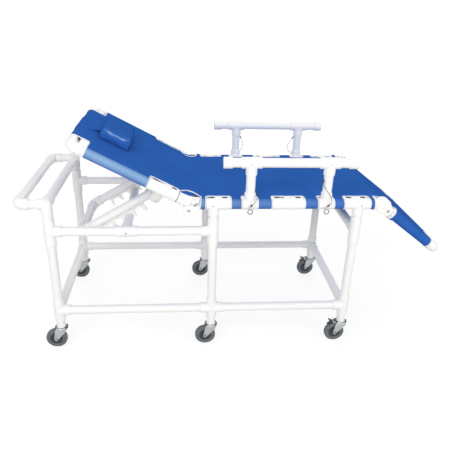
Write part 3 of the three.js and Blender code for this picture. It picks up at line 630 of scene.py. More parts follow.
def skinned(field, low, high):
    """A closed mesh on the zero of a field: a point in each crossed cell, drawn onto the surface."""
    step, spare_cells, nudge_share, draws, least_slope = sizes().fitting_grain, 2.3, 0.05, 4, 0.2
    low, high = low - spare_cells * step, high + spare_cells * step
    counts = np.ceil((high - low) / step).astype(int) + 1
    value = field(low + step * np.stack(np.indices(counts), -1).reshape(-1, 3)).reshape(counts)
    total, number, quads = np.zeros((value.size, 3)), np.zeros(value.size), []
    for axis in range(3):
        first, second = np.moveaxis(value, axis, 0)[:-1], np.moveaxis(value, axis, 0)[1:]
        start = np.argwhere((first < 0) != (second < 0))
        before, after = first[tuple(start.T)], second[tuple(start.T)]
        index = np.insert(start[:, 1:], axis, start[:, 0], axis=1)
        point = low + step * index
        point[:, axis] += step * before / (before - after)
        u, v = np.eye(3, dtype=int)[(axis + 1) % 3], np.eye(3, dtype=int)[(axis + 2) % 3]
        around = [np.ravel_multi_index((index - shift).T, counts) for shift in (u + v, v, 0 * u, u)]
        for cell in around:
            np.add.at(total, cell, point)
            np.add.at(number, cell, 1)
        quad = np.stack(around, 1)
        quads.append(np.where((before < 0)[:, None], quad, quad[:, ::-1]))
    used, faces = np.unique(np.concatenate(quads), return_inverse=True)
    points = total[used] / number[used][:, None]
    nudge = step * nudge_share
    for _ in range(draws):
        here = field(points)
        slope = np.stack([field(points + nudge * way) - here for way in np.eye(3)], 1) / nudge
        points = points - slope * (here / np.maximum((slope**2).sum(1), least_slope))[:, None]
    return points, faces.reshape(-1, 4).tolist()


def moved(points, place):
    """Points carried by a matrix."""
    points = np.asarray(points, float)
    matrix = np.array(place)
    return points @ matrix[:3, :3].T + matrix[:3, 3]


def put(along, y, z):
    """A place in the layout."""
    return Vector((along, y, z))


def placed(name, data):
    """An object in the scene that shows a mesh, lamp or camera."""
    made = bpy.data.objects.new(name, data)
    bpy.context.scene.collection.objects.link(made)
    return made


WHITE = ("white_pipe", "white_fitting")
# The eased edge of a pipe's end, and how far a bend and its sleeves overlap
PIPE_LIP, BEND_OVERLAP = 0.0008, 0.004


class Shell:
    """The points and faces of one piece, gathered part by part."""

    def __init__(self):
        self.points, self.faces, self.marks, self.count = [], [], [], 0

    def add(self, part, finish=0):
        """A part, with the number of its finish."""
        points, faces = part
        self.points.append(np.asarray(points, float))
        self.faces += [[i + self.count for i in face] for face in faces]
        self.marks += [finish] * len(faces)
        self.count += len(points)
        return self

    def turned(self, profile, origin, axis, sides, finish=0, ease=0, wrap=False):
        """A turned shape, eased where an ease is given."""
        if ease:
            profile = eased(profile, ease)
        return self.add(lathed(profile, origin, axis, sides, wrap), finish)

    def pipe(self, a, b, radius=PIPE_R, finish=0):
        """A length of pipe with eased ends."""
        length = (Vector(b) - Vector(a)).length
        lip = min(PIPE_LIP, length / 4)
        profile = [(0, radius - lip), (lip, radius), (length - lip, radius), (length, radius - lip)]
        return self.add(lathed(profile, a, Vector(b) - Vector(a)), finish)

    def fitting(self, fields, spots, reach=FITTING_R, cuts=(), ease=ARM_EASE):
        """A moulded fitting over fields."""
        spots = np.array([tuple(spot) for spot in spots])
        field = run_together(fields, ease)
        if cuts:
            field = cut_by(field, *cuts)
        return self.add(skinned(field, spots.min(0) - reach, spots.max(0) + reach), 1)

    def tee(self, a, b, at, *arms, reach=SOCKET):
        """A run from a to b with sockets that leave it at a point."""
        ends = [Vector(at) + Vector(arm).normalized() * reach for arm in arms]
        fields = [rod_field(a, b, FITTING_R), *[rod_field(at, end, FITTING_R) for end in ends]]
        return self.fitting(fields, [a, b, *ends])

    def elbow(self, corner, arm_a, arm_b):
        """A bend at a corner, with the sleeve on each arm."""
        corner = Vector(corner)
        ends, fields = [], [bend_field(corner, arm_a, arm_b, FITTING_R)]
        for arm in (arm_a, arm_b):
            arm = Vector(arm).normalized()
            ends.append(corner + arm * (BEND_R + ELBOW_SLEEVE))
            fields.append(rod_field(corner + arm * (BEND_R - BEND_OVERLAP), ends[-1], FITTING_R))
        return self.fitting(fields, [corner, *ends], ease=BEND_EASE)

    def piece(self, name, body, finishes, slot, place=BASE, replaces=(), smooth_angle=38.0):
        """The object itself, on its body."""
        points = moved(np.concatenate(self.points), place)
        mesh = bpy.data.meshes.new(name)
        mesh.from_pydata(points.tolist(), [], self.faces)
        mesh.polygons.foreach_set("material_index", self.marks)
        mesh.polygons.foreach_set("use_smooth", [True] * len(self.faces))
        for label in finishes:
            mesh.materials.append(finish(label))
        outward = bmesh.new()
        outward.from_mesh(mesh)
        bmesh.ops.recalc_face_normals(outward, faces=outward.faces)
        outward.to_mesh(mesh)
        outward.free()
        mesh.set_sharp_from_angle(angle=math.radians(smooth_angle))
        mesh.update()
        made = placed(name, mesh)
        if body:
            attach(made, body)
        if replaces:
            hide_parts(*replaces)
        return made

    def dress(self, node, body="root", finishes=WHITE, slot="white_pipe", place=BASE):
        """The piece that stands for one node of the frame."""
        return self.piece(node + "_dressed", body, finishes, slot, place, (node,))


# Base frame
def make_leg(name, x, y, low_arms, mid_arms):
    """A leg with its two tees, whose arms take the rails."""
    shell = Shell()
    shell.pipe(put(x, y, LEG_BOTTOM), put(x, y, DECK_Z - SEAT))
    low, mid = put(x, y, LOW_Z), put(x, y, MID_Z)
    shell.tee(low - Z * LOW_TEE, low + Z * LOW_TEE, low, *low_arms)
    shell.tee(mid - Z * MID_TEE, mid + Z * MID_TEE, mid, *mid_arms)
    shell.dress(name)


def make_legs():
    """The six legs."""
    for side, sign in SIDES.items():
        y, inner = sign * TRACK, -sign * Y
        make_leg("head_leg_" + side, HEAD_X, y, (X, inner), (X,))
        make_leg("mid_leg_" + side, MID_X, y, (X, -X), (-X,))
        make_leg("foot_leg_" + side, FOOT_X, y, (-X, inner), (inner,))


def make_rails():
    """The low and middle rails of both sides, and the crossbars."""
    for side, sign in SIDES.items():
        y = sign * TRACK
        low = Shell().pipe(put(HEAD_X + SEAT, y, LOW_Z), put(FOOT_X - SEAT, y, LOW_Z))
        mid = Shell().pipe(put(HEAD_X + SEAT, y, MID_Z), put(MID_X - SEAT, y, MID_Z))
        rest = put(REST_X, y, MID_Z)
        mid.tee(rest - X * REST_TEE, rest + X * REST_TEE, rest, -sign * Y)
        for rail, shell in (("low_rail_", low), ("mid_rail_", mid)):
            shell.piece(rail + "dressed_" + side, "root", WHITE, "white_pipe", replaces=(rail + side,))
    crossbars = {
        "low_crossbar_head": (HEAD_X, LOW_Z),
        "low_crossbar_foot": (FOOT_X, LOW_Z),
        "mid_crossbar_foot": (FOOT_X, MID_Z),
        "prop_rest_bar": (REST_X, MID_Z),
        "deck_crossbar": (BRACE_X, DECK_Z),
    }
    half = TRACK - SEAT
    for name, (x, z) in crossbars.items():
        Shell().pipe(put(x, -half, z), put(x, half, z)).dress(name)


def make_push_handle():
    """The push bar: a pipe round the head end, with an elbow at each corner."""
    shell = Shell()
    for sign in SIDES.values():
        y, inner = sign * TRACK, -sign * Y
        corner, grip = put(HEAD_X, y, DECK_Z), put(GRIP_X, y, DECK_Z)
        back_end = corner - X * (ELBOW_SLEEVE + BEND_R / 2)
        ends = [back_end, corner + inner * SOCKET, corner - Z * SOCKET]
        fields = [ball_field(corner, FITTING_R), *[rod_field(corner, end, FITTING_R) for end in ends]]
        shell.fitting(fields, [corner, *ends])
        shell.elbow(grip, X, inner)
        shell.pipe(corner, grip + X * BEND_R)
    half = TRACK - BEND_R
    shell.pipe(put(GRIP_X, -half, DECK_Z), put(GRIP_X, half, DECK_Z))
    shell.pipe(put(HEAD_X, -TRACK, DECK_Z), put(HEAD_X, TRACK, DECK_Z))
    shell.dress("push_handle")


# Hinges: how far cutters reach, rounded edges, and how far the box round a mesh reaches
THROUGH = 0.06
CHEEK_LIP, TONGUE_LIP, SLOT_LIP = 0.0018, 0.0015, 0.0005
HINGE_REACH, TONGUE_REACH = 0.027, 0.028


def both_ways(y, inner, outer):
    """Stretches of Y on both sides of a plane."""
    return [sorted((y + way * inner, y + way * outer)) for way in (-1, 1)]


def disc_between(pin, low, high, radius, lip):
    """A disc round a pin, from low to high along Y."""
    return rod_field((pin[0], low, pin[1]), (pin[0], high, pin[1]), radius, lip)


def cheek_pair(pin, y):
    """The two discs of a fork round a pin."""
    return [disc_between(pin, low, high, LUG_R, CHEEK_LIP) for low, high in both_ways(y, CHEEK_IN, CHEEK_OUT)]


def disc_field(pin, y, radius, half, lip=SLOT_LIP):
    """A disc round a pin, about a middle plane."""
    return disc_between(pin, y - half, y + half, radius, lip)


def on_deck(x, y):
    """A place on a deck rail's middle line."""
    return put(x, y, DECK_Z)


def add_back_hinge(shell, y):
    """The sleeve at the rail's head end, with its slotted plates."""
    outline = [(BACK_PIN[0] + along, BACK_PIN[1] + up) for along, up in CHEEK_PLATE]
    middle, half = (CHEEK_IN + CHEEK_OUT) / 2, (CHEEK_OUT - CHEEK_IN) / 2
    fields = [
        rod_field(on_deck(BACK_SLEEVE[0], y), on_deck(BACK_SLEEVE[1], y), FITTING_R),
        *cheek_pair(BACK_PIN, y),
        *[plate_field(outline, y + way * middle, half, CHEEK_LIP) for way in (-1, 1)],
    ]
    disc_room, half_slot, slot_past, slot_short, below = 0.0006, 0.04, 0.03, 0.0005, 0.001
    room = disc_field(BACK_PIN, y, LUG_R + disc_room, CHEEK_IN)
    slot_from, slot_to = (BACK_PIN[0] - slot_past, y, BACK_PIN[1]), (BACK_SLEEVE[0] - slot_short, y, DECK_Z)
    slot = beam_field(slot_from, slot_to, half_slot, CHEEK_IN)
    spots = [on_deck(BACK_SLEEVE[1], y), put(BACK_PIN[0], y, BACK_PIN[1]) - X * LUG_R - Z * below]
    shell.fitting(fields, spots, reach=HINGE_REACH, cuts=(room, slot), ease=HINGE_EASE)


def add_foot_hinge(shell, y):
    """The sleeve at the rail's foot end, with its boss and cheeks."""
    boss_x, boss_z = FOOT_BOSS
    lip, dish_depth, dish_r, dish_lip, button_depth = 0.004, 0.0016, BOSS_R * 0.66, 0.0008, 0.0017
    fields = [
        rod_field(on_deck(FOOT_SLEEVE[0], y), on_deck(boss_x, y), FITTING_R),
        disc_field(FOOT_BOSS, y, BOSS_R, BOSS_HALF, lip),
        *cheek_pair(FOOT_PIN, y),
    ]
    cuts = [disc_field(FOOT_PIN, y, SLOT_R, CHEEK_IN)]
    for way in (-1, 1):
        face = y + way * BOSS_HALF
        dish = ((boss_x, face - way * dish_depth, boss_z), (boss_x, face + way * THROUGH, boss_z))
        cuts.append(rod_field(*dish, dish_r, dish_lip))
    top = put(boss_x, y, boss_z + BOSS_R - FITTING_R)
    spots = [on_deck(FOOT_SLEEVE[0], y), put(FOOT_PIN[0], y, FOOT_PIN[1]), top]
    shell.fitting(fields, spots, reach=HINGE_REACH, cuts=cuts, ease=BOSS_EASE)
    for way in (-1, 1):
        at = (boss_x, y + way * (BOSS_HALF - button_depth), boss_z)
        button = [(-0.001, 0.0105), (0.00154, 0.0105), (0.0022, 0.00651), (0.002332, 0.0002)]
        shell.turned(button, at, way * Y, 24, 1, 0.001)


def make_deck_rails():
    """The deck rails with their tees and hinge ends."""
    for side, sign in SIDES.items():
        y, inner = sign * TRACK, -sign * Y
        shell = Shell()
        shell.pipe(on_deck(BACK_SLEEVE[0], y), on_deck(FOOT_BOSS[0], y))
        tees = [(LEG_TEE, MID_X, -Z, SOCKET), (BRACE_TEE, BRACE_X, inner, BRACE_REACH)]
        for (low, high), x, arm, reach in [*tees, (FOOT_TEE, FOOT_X, -Z, SOCKET)]:
            shell.tee(on_deck(low, y), on_deck(high, y), on_deck(x, y), arm, reach=reach)
        add_back_hinge(shell, y)
        add_foot_hinge(shell, y)
        shell.piece("deck_rail_dressed_" + side, "root", WHITE, "white_pipe", replaces=("deck_rail_" + side,))
        make_bolts("back_hinge_bolt_" + side, BACK_PIN, y, CHEEK_OUT)
        make_bolts("foot_hinge_bolt_" + side, FOOT_PIN, y, BOSS_HALF)


def add_screw(shell, at, way, radius=0.0050):
    """A pan head with a six-sided plug in its recess, in the piece's second finish; a dark plug is painted
    shade in the recess.
    """
    at, way = Vector(at), Vector(way).normalized()
    dome, lip, wall = radius * 0.6, radius * 0.42, radius * 0.39
    head = eased([(-0.003, radius), (0.0006, radius), (0.0016, dome), (0.0016, lip)], 0.0006)
    head = np.vstack([head, [(-0.0004, radius * 0.40), (-0.0006, 0.0001)]])
    # The six-sided plug in the recess: where its finish is dark, it is painted shade
    shade_plug = [(-0.0012, 0.0001), (-0.0012, wall), (0.0012, wall), (0.0012, 0.0001)]
    shell.add(lathed(head, at, way, sides=18)).add(lathed(shade_plug, at, way, sides=6), 1)


def make_bolts(node, pin, y, half):
    """A hinge bolt: shank, and a low domed head with a socket on each side."""
    shell = Shell()
    shell.turned([(-half, 0.005), (half, 0.005)], (pin[0], y, pin[1]), Y, sides=20)
    for way in (-1, 1):
        at = Vector((pin[0], y + way * (half + 0.0003), pin[1]))
        head = eased([(0, 0.0088), (0.0016, 0.0088), (0.0038, 0.0058), (0.0038, 0.0032)], 0.0012)
        head = np.vstack([head, [(0.0014, 0.0030), (0.0014, 0.0001)]])
        shell.turned(head, at, way * Y, sides=28)
        # A dark six-sided plug in each socket: painted shade in the recess
        socket = [(0.0010, 0.0001), (0.0010, 0.0029), (0.0019, 0.0029), (0.0019, 0.0001)]
        shell.turned(socket, at, way * Y, sides=6, finish=1)
    shell.dress(node, "root", ("bright_steel", "dark_parts"), "bright_steel")


# How far a pipe stops inside its fitting, how deep the dark ring of painted shadow between two fittings sits,
# and the gap's width between two fittings
RAIL_INSET, SHADOW_RING_INSET, ARM_GAP = 0.002, 0.0012, 0.0005
# The bar in each tongue: its two ends from the pin, and its half height
BACK_TONGUE = (-0.016, 0.006, -0.016, BACK_RISE + FITTING_R - RAIL_INSET, 0.026)
LEG_TONGUE = (0.0, 0.0, LEG_FITTING[1] - 0.001, 0.0, PIPE_R)


def swing_rails(shell, way, rise, reach, fitting, beam):
    """A U of rails with its elbows and hinge tongues. way is -1 towards the head."""
    for sign in SIDES.values():
        y, inner = sign * TRACK, -sign * Y
        corner = put(way * reach, y, rise)
        start, end = put(way * fitting[0], y, rise), put(way * fitting[1], y, rise)
        shell.pipe(start + X * way * RAIL_INSET, corner - X * way * BEND_R)
        shell.elbow(corner, -way * X, inner)
        fields = [
            rod_field(start, end, FITTING_R),
            disc_field((0, 0), y, LUG_R, TONGUE_HALF, TONGUE_LIP),
            beam_field((beam[0], y, beam[1]), (beam[2], y, beam[3]), beam[4], TONGUE_HALF, TONGUE_LIP),
        ]
        room, lip = 0.0012, 0.0003
        cuts = [disc_between((0, 0), *ends, LUG_R + room, lip) for ends in both_ways(y, TONGUE_HALF, THROUGH)]
        shell.fitting(fields, [start, end, put(0, y, 0)], reach=TONGUE_REACH, cuts=cuts, ease=HINGE_EASE)
    half = TRACK - BEND_R
    shell.pipe(put(way * reach, -half, rise), put(way * reach, half, rise))


def make_back_frame():
    """The back's rails, with tees for the hanger bar and a dark ring of painted shadow beside each."""
    shell = Shell()
    swing_rails(shell, -1, BACK_RISE, BACK_REACH, BACK_FITTING, BACK_TONGUE)
    for sign in SIDES.values():
        y = sign * TRACK
        at, low, high, shadow_ring_from = (put(-x, y, BACK_RISE) for x in (HANGER_AT, *HANGER_TEE, BACK_FITTING[1]))
        branch = Vector((0, -sign, -1)).normalized()
        shell.tee(low, high, at, branch, reach=HANGER_REACH)
        # A dark ring in the gap between the hinge fitting and the hanger tee: painted shadow
        shell.pipe(shadow_ring_from, low, radius=FITTING_R - SHADOW_RING_INSET, finish=2)
    shell.dress("back_frame", "back_section", (*WHITE, "dark_parts"), place=BACK)


def make_hanger_bar():
    """The bar that hangs the prop, with an arm up to each rail."""
    shell = Shell()
    half = TRACK - HANGER_DROP
    shell.pipe(put(-HANGER_AT, -half, HANGER_Z), put(-HANGER_AT, half, HANGER_Z))
    for sign in SIDES.values():
        branch = Vector((0, sign, 1)).normalized()
        corner = put(-HANGER_AT, sign * half, HANGER_Z)
        rail = put(-HANGER_AT, sign * TRACK, BACK_RISE)
        ends = [rail - branch * (HANGER_REACH + ARM_GAP), corner - Y * sign * ELBOW_SLEEVE]
        shell.pipe(corner, rail - branch * SEAT)
        fields = [ball_field(corner, FITTING_R), *[rod_field(corner, end, FITTING_R) for end in ends]]
        shell.fitting(fields, [corner, *ends])
    shell.piece("prop_hanger_dressed", "back_section", WHITE, "white_pipe", BACK, ("prop_hanger_bar",))


def make_prop():
    """The prop's U of pipe, with a tee on each side."""
    shell = Shell()
    for sign in SIDES.values():
        y, inner = sign * PROP_HALF, -sign * Y
        corner, at = put(-PROP_REACH, y, 0), put(0, y, 0)
        run, end = (at - Y * PROP_TEE, at + Y * PROP_TEE), at - X * PROP_SOCKET
        bore = rod_field(at - Y * THROUGH, at + Y * THROUGH, PIPE_R + BORE_ROOM, BORE_LIP)
        shell.fitting([rod_field(*run, FITTING_R), rod_field(at, end, FITTING_R)], [*run, end], cuts=(bore,))
        shell.pipe(put(-SEAT - RAIL_INSET, y, 0), corner + X * BEND_R)
        shell.elbow(corner, X, inner)
    half = PROP_HALF - BEND_R
    shell.pipe(put(-PROP_REACH, -half, 0), put(-PROP_REACH, half, 0))
    shell.dress("prop_frame", "prop", place=PROP)


# The racks, from the prop's pivot. The engaged notch is the one that sits on the rest bar
RACK = {
    "thick": 0.008, "start": 0.088, "pitch": 0.057, "notches": 4, "engaged": 1, "tooth": 0.0145, "end": 0.006,
}
RACK_DRAFTS = (math.radians(22), math.radians(6))
RACK_ROOM, RACK_EASE, TOOTH_EASE, RACK_SINK = 0.0006, 0.0008, 0.0045, 0.0004


def rack_profile():
    """The toothed lower edge of a rack, from its pivot end: the engaged notch sits on the rest bar."""
    rest = PROP.inverted() @ (MIDDLE + put(REST_X, 0, MID_Z))
    radius = PIPE_R + RACK_ROOM
    tooth = RACK["tooth"]
    tip = rest.z - tooth
    to_pivot, to_handle = (radius / math.cos(draft) + tooth * math.tan(draft) for draft in RACK_DRAFTS)
    points = [(-RACK["start"], tip)]
    for i in range(RACK["notches"]):
        at = rest.x - (i - RACK["engaged"]) * RACK["pitch"]
        points.append((at + to_pivot, tip))
        for turn in np.linspace(RACK_DRAFTS[0], math.pi - RACK_DRAFTS[1], 15):
            points.append((at + radius * math.cos(turn), rest.z + radius * math.sin(turn)))
        points.append((at - to_handle, tip))
    points.append((points[-1][0] - RACK["end"], tip))
    return eased(points, TOOTH_EASE, steps=5)


def make_racks():
    """The toothed plates under the prop's arms."""
    edge, top, ease = rack_profile(), -PIPE_R + RACK_SINK, RACK_EASE
    for side, sign in SIDES.items():
        middle, half = sign * PROP_HALF, RACK["thick"] / 2
        shell, rings = Shell(), []
        for x, low in edge:
            corners = [(half - ease, low), (half, low + ease), (half, top - ease), (half - ease, top)]
            corners += [(-across, up) for across, up in corners[::-1]]
            rings.append([(x, middle + across, up) for across, up in corners])
        shell.add(skin_rings(np.array(rings)))
        before, after, down = 0.02, 0.03, 0.010
        for x in (-RACK["start"] - before, edge[-1][0] + after):
            for way in (-1, 1):
                add_screw(shell, (x, middle + way * half, top - down), way * Y)
        shell.dress("prop_rack_" + side, "prop", ("rack_sheet", "bright_steel"), "rack_plastic", PROP)


def make_leg_section():
    """The leg section's rails."""
    shell = Shell()
    swing_rails(shell, 1, 0, LEG_REACH, LEG_FITTING, LEG_TONGUE)
    shell.dress("leg_frame", "leg_section", place=LEG)


# Side rails
# How far the bar stops inside its caps, their rounding, where a post starts, and the pin's hole
BAR_INSET, CAP_LIP, POST_FROM, PIN_HOLE_R = 0.001, 0.003, 0.03, 0.0041


def make_side_rails():
    """The bars with their caps and tees, and the posts."""
    for side, sign in SIDES.items():
        y, outer = sign * TRACK, sign * Y
        body = "side_rail_" + side
        bar = Shell().pipe(put(RAIL_FROM + BAR_INSET, y, RAIL_Z), put(RAIL_TO - BAR_INSET, y, RAIL_Z))
        for outside, inside_ in ((RAIL_FROM, RAIL_FROM + RAIL_CAP), (RAIL_TO, RAIL_TO - RAIL_CAP)):
            a, b = put(outside, y, RAIL_Z), put(inside_, y, RAIL_Z)
            bar.fitting([rod_field(a, b, FITTING_R, CAP_LIP)], [a, b])
        for x in POST_X.values():
            at = put(x, y, RAIL_Z)
            bar.tee(at - X * TOP_TEE, at + X * TOP_TEE, at, -Z)
        bar.dress("side_rail_bar_" + side, body)
        for end, x in POST_X.items():
            at = put(x, y, DECK_Z)
            hole = at - Z * PIN_DROP
            post = Shell().pipe(at + Z * POST_FROM, put(x, y, RAIL_Z - SEAT))
            run = (at - X * SLIP_TEE, at + X * SLIP_TEE)
            bore = rod_field(at - X * THROUGH, at + X * THROUGH, PIPE_R + BORE_ROOM, BORE_LIP)
            pin_hole = rod_field(hole, hole + outer * THROUGH, PIN_HOLE_R, BORE_LIP)
            fields = [rod_field(*run, FITTING_R), rod_field(at, at + Z * SOCKET, FITTING_R)]
            post.fitting(fields, [*run, at + Z * SOCKET], cuts=(bore, pin_hole))
            post.dress("side_post_" + end + "_" + side, body)
            make_detent(end, side, x, sign)


def make_detent(end, side, x, sign):
    """A spring pin: a knurled head on a washer, with its pull ring."""
    name = "detent_pin_" + end + "_" + side
    at = put(x, sign * TRACK, DECK_Z - PIN_DROP)
    shell = Shell()
    shell.turned([(0.0219, 0.0032), (0.028, 0.0035), (0.033, 0.0035)], at, sign * Y, sides=20, ease=0.0004)
    head = [(0.0258, 0.0001), (0.0258, 0.0070), (0.0268, 0.0070), (0.0272, 0.0050), (0.0282, 0.0050)]
    head += [(0.0286, 0.0062), (0.0328, 0.0062), (0.0338, 0.0052), (0.0338, 0.0001)]
    shell.turned(eased(head, 0.0004, steps=2), at, sign * Y, sides=28)
    ring_r, wire_r, ring_out, ring_drop = 0.011, 0.0019, 0.0299, 0.017
    centre = np.array(at + Y * sign * ring_out - Z * ring_drop)
    outs = [np.array((math.cos(a), 0, math.sin(a))) for a in full_turn(40)[::-1]]
    shell.add(hoop([centre + out * ring_r for out in outs], outs, Y, wire_r, 12), 1)
    shell.dress(name, name, ("bright_steel", "ring_wire"), "bright_steel")


# The lanyards' routes from the deck rail below each post: along, outwards and up
LANYARDS = {
    "head_near": [
        (0.0226, -0.004, 0.066), (0.0275, 0.006, 0.058), (0.0295, 0.018, 0.046), (0.025, 0.030, 0.031),
        (0.015, 0.036, 0.016), (0.005, 0.0345, 0.007), (0.0, 0.031, -0.0015),
    ],
    "foot_near": [
        (-0.0227, 0.004, 0.122), (-0.025, 0.014, 0.106), (-0.016, 0.029, 0.084), (0.0, 0.035, 0.062),
        (0.013, 0.037, 0.040), (0.016, 0.037, 0.021), (0.008, 0.035, 0.008), (0.0, 0.031, -0.0015),
    ],
    "head_far": [
        (0.0227, 0.0, 0.134), (0.031, 0.001, 0.117), (0.040, 0.003, 0.096), (0.040, 0.008, 0.074),
        (0.034, 0.017, 0.053), (0.024, 0.028, 0.033), (0.011, 0.034, 0.014), (0.0, 0.031, -0.0015),
    ],
    "foot_far": [
        (-0.0227, 0.0, 0.134), (-0.034, 0.001, 0.112), (-0.048, 0.003, 0.089), (-0.052, 0.007, 0.068),
        (-0.042, 0.016, 0.047), (-0.023, 0.029, 0.027), (-0.008, 0.034, 0.011), (0.0, 0.031, -0.0015),
    ],
}


# The cable, and the ferrules' places from its ends, with their girths
CABLE_DIAMETER = 0.0024
FERRULE_PLACE, FERRULE_R, FERRULE_SHARES = (0.001, 0.016), 0.0034, (0.55, 0.92, 1, 0.86, 1, 0.92, 0.55)


def through(points, each):
    """A smooth curve through points."""
    points = [np.array(p, float) for p in points]
    whole = [2 * points[0] - points[1], *points, 2 * points[-1] - points[-2]]
    out = []
    for four in zip(whole, whole[1:], whole[2:], whole[3:]):
        gaps = [norm(b - a) ** 0.5 for a, b in zip(four, four[1:])]
        knots = np.concatenate([[0], np.cumsum(gaps)])
        for t in np.linspace(knots[1], knots[2], each, endpoint=False):
            row = four
            for ends in (((0, 1), (1, 2), (2, 3)), ((0, 2), (1, 3)), ((1, 2),)):
                spans = [(knots[i], knots[j]) for i, j in ends]
                row = [((k - t) * a + (t - h) * b) / (k - h) for (h, k), a, b in zip(spans, row, row[1:])]
            out.append(row[0])
    return np.array([*out, points[-1]])


def make_ferrule(name, stretch, at_pin):
    """A crimped sleeve round an end of a cable."""
    lengths = run_lengths(stretch)
    low, high = FERRULE_PLACE
    if at_pin:
        low, high = lengths[-1] - high, lengths[-1] - low
    steps = np.linspace(low, high, len(FERRULE_SHARES))
    core = np.stack([np.interp(steps, lengths, stretch[:, i]) for i in range(3)], 1)
    sleeve = Shell().add(swept(core, FERRULE_R * np.array(FERRULE_SHARES), sides=16))
    return sleeve.piece(name, None, ("dark_parts",), "cable_cover", Matrix())


def make_lanyards():
    """Cables with ferrules, whose lower ends reach the pins."""
    for label, route in LANYARDS.items():
        end, side = label.split("_")
        sign = SIDES[side]
        origin = MIDDLE + put(POST_X[end], sign * TRACK, DECK_Z)
        path = through([origin + put(along, sign * out, up) for along, out, up in route], 4)
        length = float(run_lengths(path)[-1])
        cable = Shell().add(swept(path, CABLE_DIAMETER / 2, sides=12))
        replaces = ("lanyard_" + label,)
        cord = cable.piece("lanyard_cable_" + label, None, ("dark_parts",), "cable_cover", Matrix(), replaces)
        ferrules = [
            make_ferrule("ferrule_top_" + label, path[:6], False),
            make_ferrule("ferrule_pin_" + label, path[-6:], True),
        ]
        for made in (cord, *ferrules):
            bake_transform(made)


# The sling as a flat pattern: u runs to the foot end, as x on the deck, and v across and round each rail
ROLL_R = PIPE_R + 0.00035 + 0.0011
ROLL_TURN = math.radians(250)
TURN_UNDER = 0.0303
HEM_V = TRACK + ROLL_R * ROLL_TURN + TURN_UNDER
END_SPAN = ROLL_R * ROLL_TURN + TURN_UNDER
CUT_V, POST_CUT_V, CORNER_V = 0.302, 0.2985, 0.250
CLEAR = 0.0015
CORNER_R, CORNER_STEPS = 0.011, 8
SPLIT_U = BRACE_X
# Half the width of the cloth that hangs, and how deep
SAG_HALF, SAG_DEPTH = 0.30, 0.0026
# The crescent over the back hinge: its place beside a point, and the power that shapes it
CRESCENT_BESIDE, CRESCENT_POWER = 0.004, 0.8
# The sheets' mesh: its spacing, flat columns and half width, and room beside the edges
CLOTH = {"edge": 0.009, "along": 0.0125, "round": 0.0063, "columns": 46, "flat": 0.318, "room": 0.0034}
SAME, WELD, CLOTH_SMOOTH = 1e-6, 1e-7, 60
BINDING_TURN = math.radians(215)
# Rows of seam at the rolled tabs and the hems
SEAM_ROWS, HEM_ROWS, HEM_HALF, HEM_IN = (0.3050, 0.3095), (0.0, 0.0045), 0.238, 0.031


def plane_meeting(pin, tilt, rise):
    """Where a section's cloth meets the deck's: x, and how far that is from its pin."""
    height = rise + ROLL_R
    way = -1 if tilt is BACK_TILT else 1
    foot = Vector((pin[0] + height * math.sin(tilt), 0, pin[1] + height * math.cos(tilt)))
    climb = DECK_Z + ROLL_R - foot.z
    distance = climb / (-way * math.sin(tilt))
    return foot.x + way * math.cos(tilt) * distance, distance


HEAD_FOLD, HEAD_SKIP = plane_meeting(BACK_PIN, BACK_TILT, BACK_RISE)
FOOT_FOLD, FOOT_SKIP = plane_meeting(FOOT_PIN, LEG_TILT, 0)
FOLD_REACH = {"head": 0.066, "foot": 0.030}


# The ends of the cut-outs over the hinges and the depth of the crescent
HINGE_CUT_TO, FOOT_CUT_FROM, LEG_CUT_TO, CRESCENT = -0.0605, 0.7415, 0.034, 0.046
# Where the cloth rolls over a collar: its lift, and how that comes in
COLLAR_LIFT, COLLAR_PAST, COLLAR_EASE, COLLAR_OVER = 0.0046, 0.01, 0.008, 0.018


def on_back(distance):
    """The pattern's u up the back section from its pin."""
    return HEAD_FOLD - (distance - HEAD_SKIP)


def on_leg(distance):
    """The pattern's u down the leg section from its pin."""
    return FOOT_FOLD + (distance - FOOT_SKIP)


def spine(u):
    """The cloth's line at u, and its slope there."""
    u = np.asarray(u, float)
    x, z, slope = u.copy(), np.full_like(u, DECK_Z + ROLL_R), np.zeros_like(u)
    for fold, reach, tilt, way in (
        (HEAD_FOLD, FOLD_REACH["head"], BACK_TILT, -1),
        (FOOT_FOLD, FOLD_REACH["foot"], LEG_TILT, 1),
    ):
        past = way * (u - fold)
        bend = np.clip((past + reach) / (2 * reach), 0, 1)
        radius = reach / math.tan(tilt / 2)
        angle = bend * tilt
        curve_x = fold - way * reach + way * radius * np.sin(angle)
        drop = radius * (1 - np.cos(angle))
        straight = np.maximum(past - reach, 0)
        inside = past > -reach
        new_x = curve_x + way * straight * math.cos(tilt)
        new_z = DECK_Z + ROLL_R - way * (drop + straight * math.sin(tilt))
        x, z = np.where(inside, new_x, x), np.where(inside, new_z, z)
        slope = np.where(inside, angle, slope)
    return x, z, slope


def roll(over):
    """Offsets from a rail's centre for cloth past its top."""
    turn = np.clip(over / ROLL_R, 0, ROLL_TURN)
    rest = np.clip(over - ROLL_R * ROLL_TURN, 0, TURN_UNDER)
    out = ROLL_R * np.sin(turn) + rest * math.cos(ROLL_TURN)
    up = ROLL_R * np.cos(turn) - rest * math.sin(ROLL_TURN)
    face_out, face_up = np.sin(turn), np.cos(turn)
    return out, up, face_out, face_up


